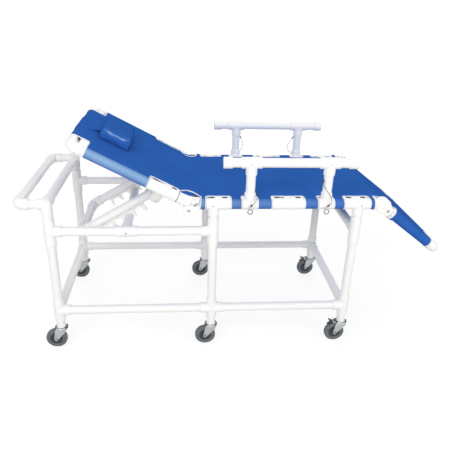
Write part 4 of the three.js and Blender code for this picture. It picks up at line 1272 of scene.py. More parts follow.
def sag(u, v):
    """How far the flat cloth hangs, with its faint ripples."""
    out = np.abs(v)
    across = np.clip(1 - (out / SAG_HALF) ** 2, 0, 1)
    supports = (on_back(BACK_REACH), HEAD_FOLD, BRACE_X, FOOT_FOLD, on_leg(LEG_REACH))
    depth = np.zeros_like(u)
    for low, high in zip(supports, supports[1:]):
        t = np.clip((u - low) / (high - low), 0, 1)
        depth = np.maximum(depth, np.sin(np.pi * t) ** 2)
    waves_along, waves_across, sway, height = 61.0, 9.0, 1.3, 0.0003
    ripple_from, coming_over, going_over = 0.20, 0.1, 0.03
    ripple = height * np.sin(u * waves_along + sway * np.sin(v * waves_across))
    coming = np.clip((out - ripple_from) / coming_over, 0, 1)
    going = np.clip(1 - (out - SAG_HALF) / going_over, 0, 1)
    return -SAG_DEPTH * depth * across - ripple * coming * going


def over_collars(u, v):
    """How far the cloth is lifted where it rolls over a collar."""
    collars = (
        (HINGE_CUT_TO - COLLAR_PAST, BACK_SLEEVE[1]),
        (FOOT_SLEEVE[0], FOOT_CUT_FROM + COLLAR_PAST),
        (on_leg(LEG_CUT_TO - COLLAR_PAST), on_leg(LEG_FITTING[1])),
    )
    share = np.zeros_like(u)
    for low, high in collars:
        away = np.maximum(np.maximum(low - u, u - high), 0)
        share = np.maximum(share, np.clip(1 - away / COLLAR_EASE, 0, 1))
    return COLLAR_LIFT * share * np.clip((np.abs(v) - CUT_V) / COLLAR_OVER, 0, 1)


def drape(u, v, lift=0.0):
    """Where the pattern's points lie in the frame."""
    u, v = np.asarray(u, float), np.asarray(v, float)
    lift = np.broadcast_to(lift, u.shape) + over_collars(u, v)
    side = np.where(v < 0, -1.0, 1.0)
    out, up, face_out, face_up = roll(np.maximum(np.abs(v) - TRACK, 0))
    flat = np.abs(v) <= TRACK
    y = np.where(flat, v, side * (TRACK + out)) + np.where(flat, 0, side * face_out * lift)
    rise = np.where(flat, lift, up - ROLL_R + face_up * lift) + np.where(flat, sag(u, v), 0)
    head_end, foot_end = on_back(BACK_REACH), on_leg(LEG_REACH)
    shift = np.zeros_like(u)
    for end, way in ((head_end, -1), (foot_end, 1)):
        past = np.maximum(way * (u - end), 0)
        out, up, face_out, face_up = roll(past)
        shift = np.where(past > 0, way * (out + face_out * lift), shift)
        rise = np.where(past > 0, up - ROLL_R + face_up * lift, rise)
    x, z, slope = spine(np.clip(u, head_end, foot_end))
    along = x + shift * np.cos(slope) + rise * np.sin(slope)
    up = z - shift * np.sin(slope) + rise * np.cos(slope)
    return np.stack([along, y, up], 1) + np.array(MIDDLE)


def rounded(corners):
    """A line through rounded corners."""
    out = []
    for i, (*at, radius) in enumerate(corners):
        at = np.array(at)
        if i in (0, len(corners) - 1) or not radius:
            out.append(at)
            continue
        before, after = (np.array(corners[j][:2]) for j in (i - 1, i + 1))
        gap_a, gap_b = norm(before - at), norm(after - at)
        half = math.acos(np.clip((before - at) / gap_a @ ((after - at) / gap_b), -1, 1)) / 2
        reach = min(radius / math.tan(half), gap_a / 2, gap_b / 2)
        out += cut_corner(before, at, after, reach, CORNER_STEPS)
    return np.array(out)


def notch(low, high, depth=CUT_V):
    """A cut-out for a fitting, open to the seams."""
    low, high = low - CLEAR, high + CLEAR
    return [(low, HEM_V, 0), (low, depth, CORNER_R), (high, depth, CORNER_R), (high, HEM_V, 0)]


def hinge_notch():
    """The cut-out from the hanger tee over the back hinge: a straight stretch, a point and a crescent."""
    gap, lead, lead_r, point_v, point_r, end_v = 0.002, 0.008, 0.006, 0.314, 0.002, 0.316
    start, point, end = on_back(HANGER_TEE[1] + CLEAR), on_back(HANGER_TEE[0] - gap), HINGE_CUT_TO
    low = [(start, HEM_V, 0), (start, CUT_V, CORNER_R), (point - lead, CUT_V, lead_r)]
    low.append((point, point_v, point_r))
    arc = []
    for t in np.linspace(0, 1, 11)[1:-1]:
        depth = CRESCENT * math.sin(math.pi * t) ** CRESCENT_POWER
        arc.append((point + CRESCENT_BESIDE + (end - CRESCENT_BESIDE - point) * t, point_v - depth, 0))
    return [*low, *arc, (end, end_v, CRESCENT_BESIDE), (end, HEM_V, 0)]


def sheet_edges():
    """The cut edges of each sheet where v is positive."""
    slips = {end: (x - SLIP_TEE, x + SLIP_TEE) for end, x in POST_X.items()}
    back_top, leg_end = on_back(BACK_WRAP_TO), on_leg(LEG_WRAP_TO)
    head = [
        [(on_back(BACK_REACH) - END_SPAN, CORNER_V, 0), (back_top, CORNER_V, CORNER_R), (back_top, HEM_V, 0)],
        hinge_notch(),
        notch(*LEG_TEE),
        notch(*slips["head"], POST_CUT_V),
        [(BRACE_TEE[0] - CLEAR, HEM_V, 0), (BRACE_TEE[0] - CLEAR, CUT_V, CORNER_R), (SPLIT_U, CUT_V, 0)],
    ]
    foot_cut = [
        (FOOT_CUT_FROM, HEM_V, 0), (FOOT_CUT_FROM, CUT_V, CORNER_R),
        (on_leg(LEG_CUT_TO), CUT_V, CORNER_R), (on_leg(LEG_CUT_TO), HEM_V, 0),
    ]
    foot = [
        [(SPLIT_U, CUT_V, 0), (BRACE_TEE[1] + CLEAR, CUT_V, CORNER_R), (BRACE_TEE[1] + CLEAR, HEM_V, 0)],
        notch(*slips["foot"], POST_CUT_V),
        notch(*FOOT_TEE),
        foot_cut,
        [(leg_end, HEM_V, 0), (leg_end, CORNER_V, CORNER_R), (on_leg(LEG_REACH) + END_SPAN, CORNER_V, 0)],
    ]
    return {"head": [rounded(e) for e in head], "foot": [rounded(e) for e in foot]}


def spaced(line, step):
    """A line with more points where needed."""
    out = [line[0]]
    for a, b in zip(line, line[1:]):
        count = max(1, math.ceil(norm(b - a) / step))
        out += [a + (b - a) * i / count for i in range(1, count + 1)]
    return np.array(out)


def cloth_attribute(made, u, v):
    """Keeps each point's place on the pattern."""
    layer = made.data.attributes.new("cloth", "FLOAT_VECTOR", "POINT")
    layer.data.foreach_set("vector", np.stack([u, v, 0 * u], 1).astype(np.float32).ravel())


def make_cloth(name, edges, blend, replaces):
    """A sheet cut from its pattern, rolled round the rails."""
    half = np.concatenate([spaced(edge, CLOTH["edge"]) for edge in edges])
    whole = np.concatenate([half, (half * (1, -1))[::-1]])
    outline = whole[norm(whole - np.roll(whole, 1, 0), axis=1) > SAME]
    lows, highs = outline.min(0), outline.max(0)
    head_inset, foot_inset, overlap = 0.004, 0.003, 0.006
    us = np.arange(lows[0] + head_inset, highs[0] - foot_inset, CLOTH["along"])
    rolled = TRACK - overlap + np.arange(0.0, HEM_V - TRACK, CLOTH["round"])
    vs = np.concatenate([-rolled[::-1], np.linspace(-CLOTH["flat"], CLOTH["flat"], CLOTH["columns"]), rolled])
    grid = np.stack(np.meshgrid(us, vs, indexing="ij"), -1).reshape(-1, 2)
    inner = grid[inside(outline, grid) & (nearest(outline, grid) > CLOTH["room"])]
    points = [Vector(p) for p in np.concatenate([outline, inner])]
    verts, _, faces, *_ = delaunay_2d_cdt(points, [], [list(range(len(outline)))], 1, WELD)
    flat = np.array([tuple(p) for p in verts])
    shell = Shell().add((drape(flat[:, 0], flat[:, 1]), faces))
    made = shell.piece(name, None, ("sling_cloth",), "sling_fabric", Matrix(), replaces, CLOTH_SMOOTH)
    cloth_attribute(made, flat[:, 0], flat[:, 1])
    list(blend)
    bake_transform(made)
    thick = made.modifiers.new("cloth_thickness", "SOLIDIFY")
    thick.thickness = sizes().cloth
    thick.offset = 0
    size = (float(highs[1] - lows[1]), float(highs[0] - lows[0]))
    return made, size, float(abs(signed_area(outline)))


def inside(outline, points):
    """Which points lie inside a closed outline."""
    a, b = outline, np.roll(outline, -1, 0)
    result = np.zeros(len(points), bool)
    for (x1, y1), (x2, y2) in zip(a, b):
        if y1 == y2:
            continue
        crosses = (points[:, 1] > min(y1, y2)) & (points[:, 1] <= max(y1, y2))
        at = x1 + (points[:, 1] - y1) * (x2 - x1) / (y2 - y1)
        result ^= crosses & (points[:, 0] < at)
    return result


def nearest(outline, points):
    """How far each point is from a closed outline."""
    best = np.full(len(points), np.inf)
    for a, b in zip(outline, np.roll(outline, -1, 0)):
        along = b - a
        t = np.clip((points - a) @ along / max(along @ along, TINY**2), 0, 1)
        best = np.minimum(best, norm(points - a - t[:, None] * along, axis=1))
    return best


def sewn(shell, name, finish, marks, blend):
    """A piece that lies on the cloth."""
    made = shell.piece(name, None, (finish,), "sling_fabric", Matrix(), (), CLOTH_SMOOTH)
    marks = np.array(marks)
    cloth_attribute(made, marks[:, 0], marks[:, 1])
    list(blend)
    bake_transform(made)
    return made


def laid(shell, line, half, low, high, cells=2):
    """A flat strip along a line of the pattern."""
    tangent = headings(line)
    across = np.stack([-tangent[:, 1], tangent[:, 0]], 1)
    shares = np.linspace(-1, 1, cells + 1)[:, None]
    rings, marks = [], []
    each = (np.broadcast_to(value, len(line)) for value in (half, low, high))
    for point, way, reach, under, over in zip(line, across, *each):
        flat = point + way * shares * reach
        loop = np.concatenate([flat, flat[::-1]])
        rings.append(drape(loop[:, 0], loop[:, 1], np.repeat((under, over), len(shares))))
        marks += loop.tolist()
    shell.add(skin_rings(np.array(rings)))
    return marks


def make_binding(name, edges, blend):
    """White tape over the cut edges, with its stitches."""
    width, bulge = sizes().binding_width, sizes().tape_bulge
    squareness, step, beyond, stitched, proud = 0.6, 0.004, 0.0012, 0.0034, 0.0001
    turn = full_turn(12)
    shape = np.stack([np.sign(np.cos(turn)) * np.abs(np.cos(turn)) ** squareness, np.sin(turn)], 1)
    tape, thread, tape_marks, thread_marks = Shell(), Shell(), [], []
    for edge in edges:
        half = spaced(edge, step)
        half = half[np.abs(half[:, 1]) < TRACK + ROLL_R * BINDING_TURN]
        for sign in (-1, 1):
            line = half * (1, sign)
            tangent = headings(line)
            inward = np.stack([tangent[:, 1], -tangent[:, 0]], 1) * sign
            rings = []
            for point, way, run in zip(line, inward, run_lengths(line)):
                across = point + way * (shape[:, :1] * width / 2 + width / 2 - beyond)
                rings.append(drape(across[:, 0], across[:, 1], shape[:, 1] * bulge / 2))
                tape_marks += [(run, 0.0)] * len(shape)
            rings = np.array(rings)
            tape.add(skin_rings(rings if sign > 0 else rings[:, ::-1]))
            thread_marks += add_stitches(thread, line + inward * (width - stitched), bulge / 2 + proud)
    return [
        sewn(tape, name, "white_binding", tape_marks, blend),
        sewn(thread, name + "_stitches", "white_binding", thread_marks, blend),
    ]


def add_stitches(shell, line, lift):
    """Short proud threads along a line of the pattern."""
    pitch, shown, radius, sides = sizes().stitch, 0.66, 0.00042, 5
    arch = lift + 0.00035 * np.array((-0.8, 0.5, 0.5, -0.8))
    lengths = run_lengths(line)
    marks = []
    for start in np.arange(pitch, lengths[-1] - pitch, pitch):
        at = np.linspace(start, start + pitch * shown, len(arch))
        flat = np.stack([np.interp(at, lengths, line[:, i]) for i in range(2)], 1)
        shell.add(swept(drape(flat[:, 0], flat[:, 1], arch), radius, sides))
        marks += [(start, 0.0)] * (len(arch) * sides)
    return marks


def make_seams(name, edges, blend, hem):
    """Two rows of stitches at each rolled tab and hem."""
    rows, gap, least, step = [], 0.005, 0.012, 0.01
    for before, after in zip(edges, edges[1:]):
        low, high = before[-1][0] + gap, after[0][0] - gap
        if high - low < least:
            continue
        rows += [[(low, sign * v), (high, sign * v)] for sign in (-1, 1) for v in SEAM_ROWS]
    rows += [[(hem + row, -HEM_HALF), (hem + row, HEM_HALF)] for row in HEM_ROWS]
    shell, marks = Shell(), []
    for row in rows:
        marks += add_stitches(shell, spaced(np.array(row), step), sizes().cloth / 2)
    return sewn(shell, name, "blue_thread", marks, blend)


# The stretch that a patch of painted shadow takes up inside a cut-out, from its head end and from its foot
# end
SHADOW_PATCH_FROM_LOW, SHADOW_PATCH_FROM_HIGH = (0.010, 0.039), (0.038, 0.010)


def make_shadow_patches(name, half, blend):
    """Near-black patches of painted shadow that show below the corners of the cut-outs."""
    hanger_low, hanger_high = on_back(HANGER_TEE[1]), on_back(HANGER_TEE[0])
    crescent_end = HINGE_CUT_TO + CRESCENT_BESIDE
    corners = {
        "head": [
            (hanger_low, 1), (hanger_high, -1), (crescent_end, -1), (LEG_TEE[0], 1), (LEG_TEE[1], -1),
            (BRACE_TEE[0], 1),
        ],
        "foot": [(BRACE_TEE[1], -1), (FOOT_TEE[0], 1), (FOOT_TEE[1], -1), (FOOT_CUT_FROM, 1)],
    }
    count, behind, half_width, thick, least = 13, 0.0098, 0.0078, 0.0008, 0.05
    widths = half_width * np.maximum(1 - np.linspace(-1, 1, count) ** 4, least)
    shell, marks = Shell(), []
    for corner, way in corners[half]:
        near, far = SHADOW_PATCH_FROM_LOW if way > 0 else SHADOW_PATCH_FROM_HIGH
        us = np.linspace(corner + way * near, corner + way * far, count)
        for sign in SIDES.values():
            line = np.stack([us, np.full(count, sign * (CUT_V + behind))], 1)
            marks += laid(shell, line, widths, -thick, 0.0)
    # The patches are near-black: painted shadow in the gaps at the cut-outs' corners
    shadow_patches = [sewn(shell, name, "dark_facing", marks, blend)]
    if half == "head":
        shadow_patches.append(make_gusset(name + "_gusset", blend))
    return shadow_patches


def make_gusset(name, blend):
    """The layer of cloth that shows below the crescent."""
    count, from_tee, end_half, out_to, low, high = 21, 0.004, 0.0006, 0.312, -0.0052, -0.0040
    us = np.linspace(on_back(HANGER_TEE[0] - from_tee), HINGE_CUT_TO, count)
    widths = end_half + 0.5 * CRESCENT * np.sin(np.linspace(0, np.pi, count)) ** CRESCENT_POWER
    shell, marks = Shell(), []
    for sign in SIDES.values():
        marks += laid(shell, np.stack([us, sign * (out_to - widths)], 1), widths, low, high, cells=6)
    return sewn(shell, name, "sling_cloth", marks, blend)


def make_join(name, blend):
    """The tape that joins the two sheets, with its stitches."""
    half, short, proud, deep, inset, count = 0.0085, 0.002, 0.0002, 0.0006, 0.0022, 61
    shell, top, end = Shell(), sizes().cloth / 2 + proud, CUT_V - short
    line = np.stack([np.full(count, SPLIT_U), np.linspace(-end, end, count)], 1)
    marks = laid(shell, line, half, sizes().cloth / 2 - deep, top, cells=4)
    tape = sewn(shell, name, "sling_cloth", marks, blend)
    rows, marks = Shell(), []
    for shift in (-half + inset, half - inset):
        marks += add_stitches(rows, line + (shift, 0), top)
    return [tape, sewn(rows, name + "_stitches", "blue_thread", marks, blend)]


def make_sling():
    """The two sheets, with what is sewn to them."""
    edges = sheet_edges()
    back_at, deck_at, foot_at, leg_at = (
        tuple(Vector(drape([u], [0.0])[0]))
        for u in (on_back(BACK_FITTING[1]), BACK_SLEEVE[1] - 0.001, FOOT_SLEEVE[0], on_leg(LEG_FITTING[1]))
    )
    blends = {
        "head": ("back_section", "root", back_at, deck_at),
        "foot": ("root", "leg_section", foot_at, leg_at),
    }
    stands_for = {"head": ("sling_back", "sling_deck"), "foot": ("sling_leg",)}
    hems = {"head": on_back(BACK_REACH - HEM_IN), "foot": on_leg(LEG_REACH - HEM_IN)}
    rests = {
        "head": ["back_frame_dressed", "deck_rail_dressed_near", "deck_rail_dressed_far"],
        "foot": ["leg_frame_dressed", "deck_rail_dressed_near", "deck_rail_dressed_far"],
    }
    for half in ("head", "foot"):
        cloth, flat, area = make_cloth("sling_" + half, edges[half], blends[half], stands_for[half])
        trims = make_binding("sling_binding_" + half, edges[half], blends[half])
        trims.append(make_seams("sling_seams_" + half, edges[half], blends[half], hems[half]))
        trims += make_shadow_patches("sling_facings_" + half, half, blends[half])
        if half == "head":
            trims.append(make_strap(blends[half]))
        else:
            trims += make_join("sling_join", blends[half])
        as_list(rests[half])


# The strap, from its start up the back at the cushion's side to beyond the head end
STRAP = {"from": 0.470, "middle": 0.034, "narrow": 0.054, "wide": 0.096, "thick": 0.0016, "beyond": 0.085}
STRAP_RISE, STRAP_PROUD = 0.022, 0.0003


def make_strap(blend):
    """The wide strap from the cushion's side to the head end."""
    us = np.linspace(on_back(STRAP["from"]), on_back(BACK_REACH) - STRAP["beyond"], 46)
    ends = [on_back(BACK_REACH), on_back(STRAP["from"])]
    line = np.stack([us, np.interp(us, ends, [0.0, STRAP["middle"]])], 1)
    halves = np.interp(us, ends, [STRAP["wide"], STRAP["narrow"]])
    raised = sizes().cloth / 2 + STRAP_PROUD + STRAP_RISE * np.interp(us, ends, [0.0, 1.0]) ** 2
    shell = Shell()
    marks = laid(shell, line, halves, raised, raised + STRAP["thick"], cells=10)
    return sewn(shell, "cushion_strap", "sling_cloth", marks, blend)


# Head cushion
CUSHION = {"length": 0.150, "width": 0.272, "height": 0.056, "at": 0.416, "swell": 0.004}
# How its sides bulge, its crest draws in, and its crown falls to its corners, sides and ends
PAD_BULGE, PAD_DRAW, PAD_FALLS = (0.003, 0.005), (0.006, 0.014), (0.05, 0.12, 0.04)
# Its base: where it starts, where it is pressed flat, and its height above the cloth's middle
PAD_START, PAD_FLOOR, PAD_UNDER = 0.002, 0.0012, 0.0011


def stuffed_block():
    """The pad's mesh before it swells: a block with bulging sides and a drawn crest."""
    length, width = (CUSHION[key] / 2 - CUSHION["swell"] for key in ("length", "width"))
    height = CUSHION["height"] - 1.4 * CUSHION["swell"]
    corner_fall, side_fall, end_fall = PAD_FALLS
    grid = bmesh.new()
    bmesh.ops.create_cube(grid, size=2)
    bmesh.ops.subdivide_edges(grid, edges=grid.edges, cuts=13, use_grid_fill=True)
    for vert in grid.verts:
        x, y, z = vert.co
        up = (z + 1) / 2
        full, off_end, off_side = math.sin(math.pi * up), 1 - x * x, 1 - y * y
        reach_x = length + PAD_BULGE[0] * full * off_side - PAD_DRAW[0] * up**3 * y * y
        reach_y = width + PAD_BULGE[1] * full * off_end - PAD_DRAW[1] * up**3 * x * x
        fall = corner_fall * max(x * x, y * y) ** 2 + side_fall * off_end * y**4 + end_fall * off_side * x**4
        vert.co = Vector((x * reach_x, y * reach_y, height * (1 - fall) * up + PAD_START))
    mesh = bpy.data.meshes.new("head_cushion_cover")
    grid.to_mesh(mesh)
    grid.free()
    return mesh


def make_cushion():
    """A stuffed pad, swollen by a cloth simulation."""
    made = placed("head_cushion_cover", stuffed_block())
    inflate(made, CUSHION["swell"])
    subdivided = made.modifiers.new("smooth", "SUBSURF")
    subdivided.levels = 1
    subdivided.render_levels = 1
    apply_modifiers(made)
    local = np.array([tuple(v.co) for v in made.data.vertices])
    pressed, over = 0.05, 0.004
    low = local[:, 2] < PAD_FLOOR
    local[low, 2] = PAD_FLOOR + (local[low, 2] - PAD_FLOOR) * pressed
    local[:, 2] = np.minimum(local[:, 2], CUSHION["height"] + over)
    local[:, :2] *= (CUSHION["length"] / np.ptp(local[:, 0]), CUSHION["width"] / np.ptp(local[:, 1]))
    pucker(local)
    hang = sag(on_back(CUSHION["at"] - local[:, 0]), local[:, 1])
    local[:, 2] += hang * (1 - local[:, 2] / CUSHION["height"])
    place = BACK @ Matrix.Translation((-CUSHION["at"], 0, BACK_RISE + ROLL_R + PAD_UNDER))
    made.data.vertices.foreach_set("co", moved(local, place).astype(np.float32).ravel())
    made.data.polygons.foreach_set("use_smooth", [True] * len(made.data.polygons))
    made.data.materials.clear()
    made.data.materials.append(finish("cushion_vinyl"))
    made.data.update()
    paint_crest_highlight(made, place)
    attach(made, "back_section")
    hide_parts("head_cushion")
    make_welt(local, place)


def paint_crest_highlight(made, place):
    """Marks the band along each long side's crest where a highlight is painted."""
    normals = np.array([tuple(v.normal) for v in made.data.vertices]) @ np.array(place.to_3x3())
    back = place.inverted()
    along = np.array([(back @ v.co).x for v in made.data.vertices]) / (CUSHION["length"] / 2)
    lean, gain, spread, ending, fade = 0.58, 0.24, 0.17, 1.7, 2.0
    band = np.clip(1 - ((normals[:, 2] - lean - gain * along**2) / spread) ** 2, 0, 1)
    band = band * np.clip(ending - fade * np.abs(along), 0, 1)
    crest_highlight = band * (np.abs(normals[:, 1]) > np.abs(normals[:, 0]))
    ends = np.array([tuple(edge.vertices) for edge in made.data.edges])
    for _ in range(3):
        total, count = crest_highlight.copy(), np.ones_like(crest_highlight)
        for a, b in (ends.T, ends.T[::-1]):
            np.add.at(total, a, crest_highlight[b])
            np.add.at(count, a, 1)
        crest_highlight = total / count
    layer = made.data.attributes.new("crest_highlight", "FLOAT", "POINT")
    layer.data.foreach_set("value", crest_highlight.astype(np.float32))


def pucker(local):
    """Small gathers beside the base seam."""
    height, spread, depth, waves = 0.010, 0.007, 0.0006, (260, 220)
    push = depth * np.sin(local[:, :2] @ waves) * np.exp(-((local[:, 2] - height) / spread) ** 2)
    reach = norm(local[:, :2], axis=1) + SAME
    local[:, :2] += local[:, :2] * (push / reach)[:, None]


def apply_modifiers(made):
    """Makes what an object's modifiers give its own mesh."""
    graph = bpy.context.evaluated_depsgraph_get()
    mesh = bpy.data.meshes.new_from_object(made.evaluated_get(graph))
    made.modifiers.clear()
    made.data = mesh


def inflate(made, cap):
    """Swells a mesh by a short simulation."""
    remesh = made.modifiers.new("remesh", "REMESH")
    remesh.mode = "VOXEL"
    remesh.voxel_size = 0.0055
    apply_modifiers(made)
    start = np.array([tuple(v.co) for v in made.data.vertices])
    cloth = made.modifiers.new("stuffing", "CLOTH")
    cloth.settings.use_pressure = True
    cloth.settings.uniform_pressure_force = 4.0
    cloth.settings.tension_stiffness = 18
    cloth.settings.compression_stiffness = 18
    cloth.settings.effector_weights.gravity = 0
    frames = 20
    cloth.point_cache.frame_start, cloth.point_cache.frame_end = 1, frames
    scene = bpy.context.scene
    for step in range(1, frames + 1):
        scene.frame_set(step)
    apply_modifiers(made)
    scene.frame_set(1)
    shift = np.array([tuple(v.co) for v in made.data.vertices]) - start
    far = norm(shift, axis=1)
    end = start + shift * (cap * np.tanh(far / cap) / np.maximum(far, TINY))[:, None]
    made.data.vertices.foreach_set("co", end.astype(np.float32).ravel())
    made.data.update()


def make_welt(local, place):
    """A welt round the pad a little above its base."""
    length, width = CUSHION["length"], CUSHION["width"]
    height, radius, band_half, window = 0.0045, 0.0018, 0.006, 0.07
    band = local[np.abs(local[:, 2] - height) < band_half]
    angles = np.arctan2(band[:, 1] / width, band[:, 0] / length)
    reach = norm(band[:, :2], axis=1)
    ring = []
    for a in full_turn(120):
        close = np.abs((angles - a + np.pi) % (2 * np.pi) - np.pi) < window
        size = reach[close].max() if close.any() else reach.max()
        way = np.array((math.cos(a) * length, math.sin(a) * width))
        ring.append((*(way / norm(way) * size), height))
    ring = np.array(ring)
    for _ in range(3):
        ring = (np.roll(ring, 1, 0) + 2 * ring + np.roll(ring, -1, 0)) / 4
    tangent = np.roll(ring, -1, 0) - np.roll(ring, 1, 0)
    tangent /= norm(tangent, axis=1)[:, None]
    shell = Shell().add(hoop(ring, np.cross(tangent, Z), Z, radius, 10))
    shell.piece("head_cushion_welt", "back_section", ("cushion_vinyl",), "cushion_vinyl", place)


# Screws in the fittings
def make_screws():
    """The screws that lock the fittings on the pipes."""
    finishes = ("bright_steel", "dark_parts")
    shell = Shell()
    for sign in SIDES.values():
        face = sign * (TRACK + FITTING_R)
        for x, z in ((MID_X - 0.004, DECK_Z), (FOOT_X + 0.006, DECK_Z), (REST_X, MID_Z)):
            add_screw(shell, put(x, face, z), sign * Y)
    shell.piece("frame_screws", "root", finishes, "bright_steel")
    drop, radius = 0.002, 0.0036
    for side, sign in SIDES.items():
        rail = Shell()
        for x in POST_X.values():
            for way in (-1, 1):
                add_screw(rail, put(x, sign * TRACK + way * FITTING_R, RAIL_Z - drop), way * Y, radius)
        rail.piece("side_rail_screws_" + side, "side_rail_" + side, finishes, "bright_steel")


# Casters
WHEEL_R, WHEEL_W, TRAIL = 0.0508, 0.028, 0.028
RIM_R, SPOKES = 0.0300, 8
FORK = {"inside": 0.0186, "plate": 0.003, "top": 0.1139, "half": 0.024, "end_r": 0.0105, "axle_r": 0.005}
# The swivel head: heights with radii, then sides, finish and ease
SWIVEL = (
    ([(0.1052, 0.0001), (0.1052, 0.0215), (0.1085, 0.0235), (0.112, 0.0235), (0.112, 0.0001)], 40, 0, 0.001),
    ([(0.1105, 0.020), (0.1105, 0.0285), (0.1140, 0.0288), (0.1168, 0.0262), (0.1168, 0.019)], 48, 0, 0.001),
    ([(0.1092, 0.019), (0.1092, 0.0262), (0.1107, 0.0262), (0.1107, 0.019)], 48, 2, 0),
    ([(0.1112, 0.0001), (0.1112, 0.0205), (0.1160, 0.0205), (0.1160, 0.0001)], 36, 1, 0),
    ([(0.1150, 0.0145), (0.1690, 0.0145), (0.1694, 0.0001)], 28, 1, 0),
)
BRAKE = {"x": -0.037, "z": 0.1115, "half": 0.011, "shoe_half": 0.0072, "shoe_in": 0.0072, "shoe_out": 0.0102}
BRAKE_WRAP = math.radians(34)
EAR = {"inside": 0.0116, "outside": 0.0146, "radius": 0.0046, "root": -0.021, "pin_r": 0.0024}


def arc(x, z, radius, low, high, count):
    """Points of an arc in the XZ plane."""
    return [(x + radius * math.cos(a), z + radius * math.sin(a)) for a in np.linspace(low, high, count)]


def mirrored(profile):
    """A turned profile with its mirror image after it."""
    return profile + [(-along, radius) for along, radius in profile[::-1]]


def make_wheel(name, at):
    """A grey tyre round a dark hub with a dished, spoked web."""
    half = WHEEL_W / 2
    tread = [(-half + 0.0026, RIM_R), (-half + 0.0006, RIM_R + 0.0022), (-half, WHEEL_R - 0.0070)]
    tread += [(-half + 0.0052, WHEEL_R - 0.0006), (-half + 0.0075, WHEEL_R)]
    web = [(-0.0112, RIM_R + 0.0012), (-0.0112, RIM_R - 0.002), (-0.0064, RIM_R - 0.0045), (-0.0060, 0.0185)]
    web += [(-0.0095, 0.0165), (-0.0174, 0.0140), (-0.0174, 0.0060)]
    shell = Shell().turned(mirrored(tread), at, Y, sides=64, ease=0.0012, wrap=True)
    shell.turned(mirrored(web), at, Y, sides=56, finish=1, ease=0.0014)
    for way in (-1, 1):
        for turn in full_turn(SPOKES):
            spoke = Vector((math.cos(turn), 0, math.sin(turn)))
            a = at + spoke * 0.0170 + Y * way * 0.0066
            b = at + spoke * (RIM_R - 0.002) + Y * way * 0.0074
            shell.add(swept(np.linspace(a, b, 3), [0.0019, 0.0016, 0.0014], 8), 1)
    shell.dress(name, name, ("wheel_tyre", "wheel_hub"), "wheel_tyre")


def make_fork(name, x, y, braked):
    """A pressed fork: plates, nuts, swivel head with its dark seal, stem and axle, and a brake's ears."""
    shell, outside = Shell(), FORK["inside"] + FORK["plate"]
    half, top = FORK["half"], FORK["top"]
    shoulders = [(half - 0.001, 0.098), (half, top - 0.004), (half - 0.003, top)]
    shoulders += [(-half + 0.001, top), (-half - 0.003, top - 0.006)]
    outline = arc(x - TRAIL, WHEEL_R, FORK["end_r"], math.pi, 2 * math.pi, 9)
    outline += [(x + along, z) for along, z in shoulders]
    nut = [(0, 0.0001), (0, 0.0082), (0.0045, 0.0082), (0.0045, 0.0045), (0.0058, 0.0042), (0.0058, 0.0001)]
    for way, (low, high) in zip((-1, 1), both_ways(y, FORK["inside"], outside)):
        shell.add(slab(outline, low, high, 0.0007))
        at = put(x - TRAIL, y + way * (outside + 0.0001), WHEEL_R)
        shell.turned(nut[:4], at, way * Y, sides=6, finish=1, ease=0.0004)
        shell.turned(nut[2:], at, way * Y, sides=20, finish=1, ease=0.0004)
    for profile, sides, look, ease in SWIVEL:
        shell.turned(profile, (x, y, 0), Z, sides, look, ease)
    lug_out, lug_z, lug_half, lug_r = 0.0272, 0.1128, 0.0050, 0.0042
    for way in (-1, 1):
        for turn in (-0.5, 0.0, 0.5):
            at = put(way * math.cos(turn), math.sin(turn), 0) * lug_out + put(x, y, lug_z)
            shell.turned([(-lug_half, lug_r), (lug_half, lug_r)], at, Z, sides=14, finish=2, ease=0.0008)
    axle = [(-outside, FORK["axle_r"]), (outside, FORK["axle_r"])]
    shell.turned(axle, put(x - TRAIL, y, WHEEL_R), Y, sides=20, finish=1)
    if braked:
        pin_x, pin_z, radius = x + BRAKE["x"], BRAKE["z"], EAR["radius"]
        ear = arc(pin_x, pin_z, radius, math.pi / 2, 1.5 * math.pi, 7)
        ear += [(x + EAR["root"], pin_z - radius), (x + EAR["root"], pin_z + radius)]
        for low, high in both_ways(y, EAR["inside"], EAR["outside"]):
            shell.add(slab(ear, low, high, 0.0005))
        pin = [(-EAR["outside"], EAR["pin_r"]), (EAR["outside"], EAR["pin_r"])]
        shell.turned(pin, put(pin_x, y, pin_z), Y, sides=14, finish=1)
    shell.dress(name, name, ("zinc_plate", "bright_steel", "dark_parts"), "zinc_steel")


def make_pedal(name, x, y):
    """The brake's toe tab, eye and short curved shoe."""
    shell, half, narrow = Shell(), BRAKE["half"], BRAKE["shoe_half"]
    start = math.atan2(BRAKE["z"] - WHEEL_R, BRAKE["x"] + TRAIL)
    end = start + BRAKE_WRAP
    shoe = arc(x - TRAIL, WHEEL_R, WHEEL_R + BRAKE["shoe_in"], start, end, 10)
    shoe += arc(x - TRAIL, WHEEL_R, WHEEL_R + BRAKE["shoe_out"], end, start, 10)
    shell.add(slab(shoe, y - narrow, y + narrow, 0.0006), 1)
    tab = [(0, 0.0017), (-0.012, 0.0048), (-0.024, 0.0118), (-0.027, 0.0124), (-0.0265, 0.0088)]
    tab += [(-0.012, 0.0016), (0, -0.0017)]
    shell.add(slab([(x + BRAKE["x"] + a, BRAKE["z"] + b) for a, b in tab], y - half, y + half, 0.0006), 1)
    eye = [(-half, 0.0030), (-half, 0.0049), (half, 0.0049), (half, 0.0030)]
    shell.turned(eye, put(x + BRAKE["x"], y, BRAKE["z"]), Y, sides=24, ease=0.0004)
    shell.dress(name, name, ("zinc_plate", "dark_parts"), "zinc_steel")


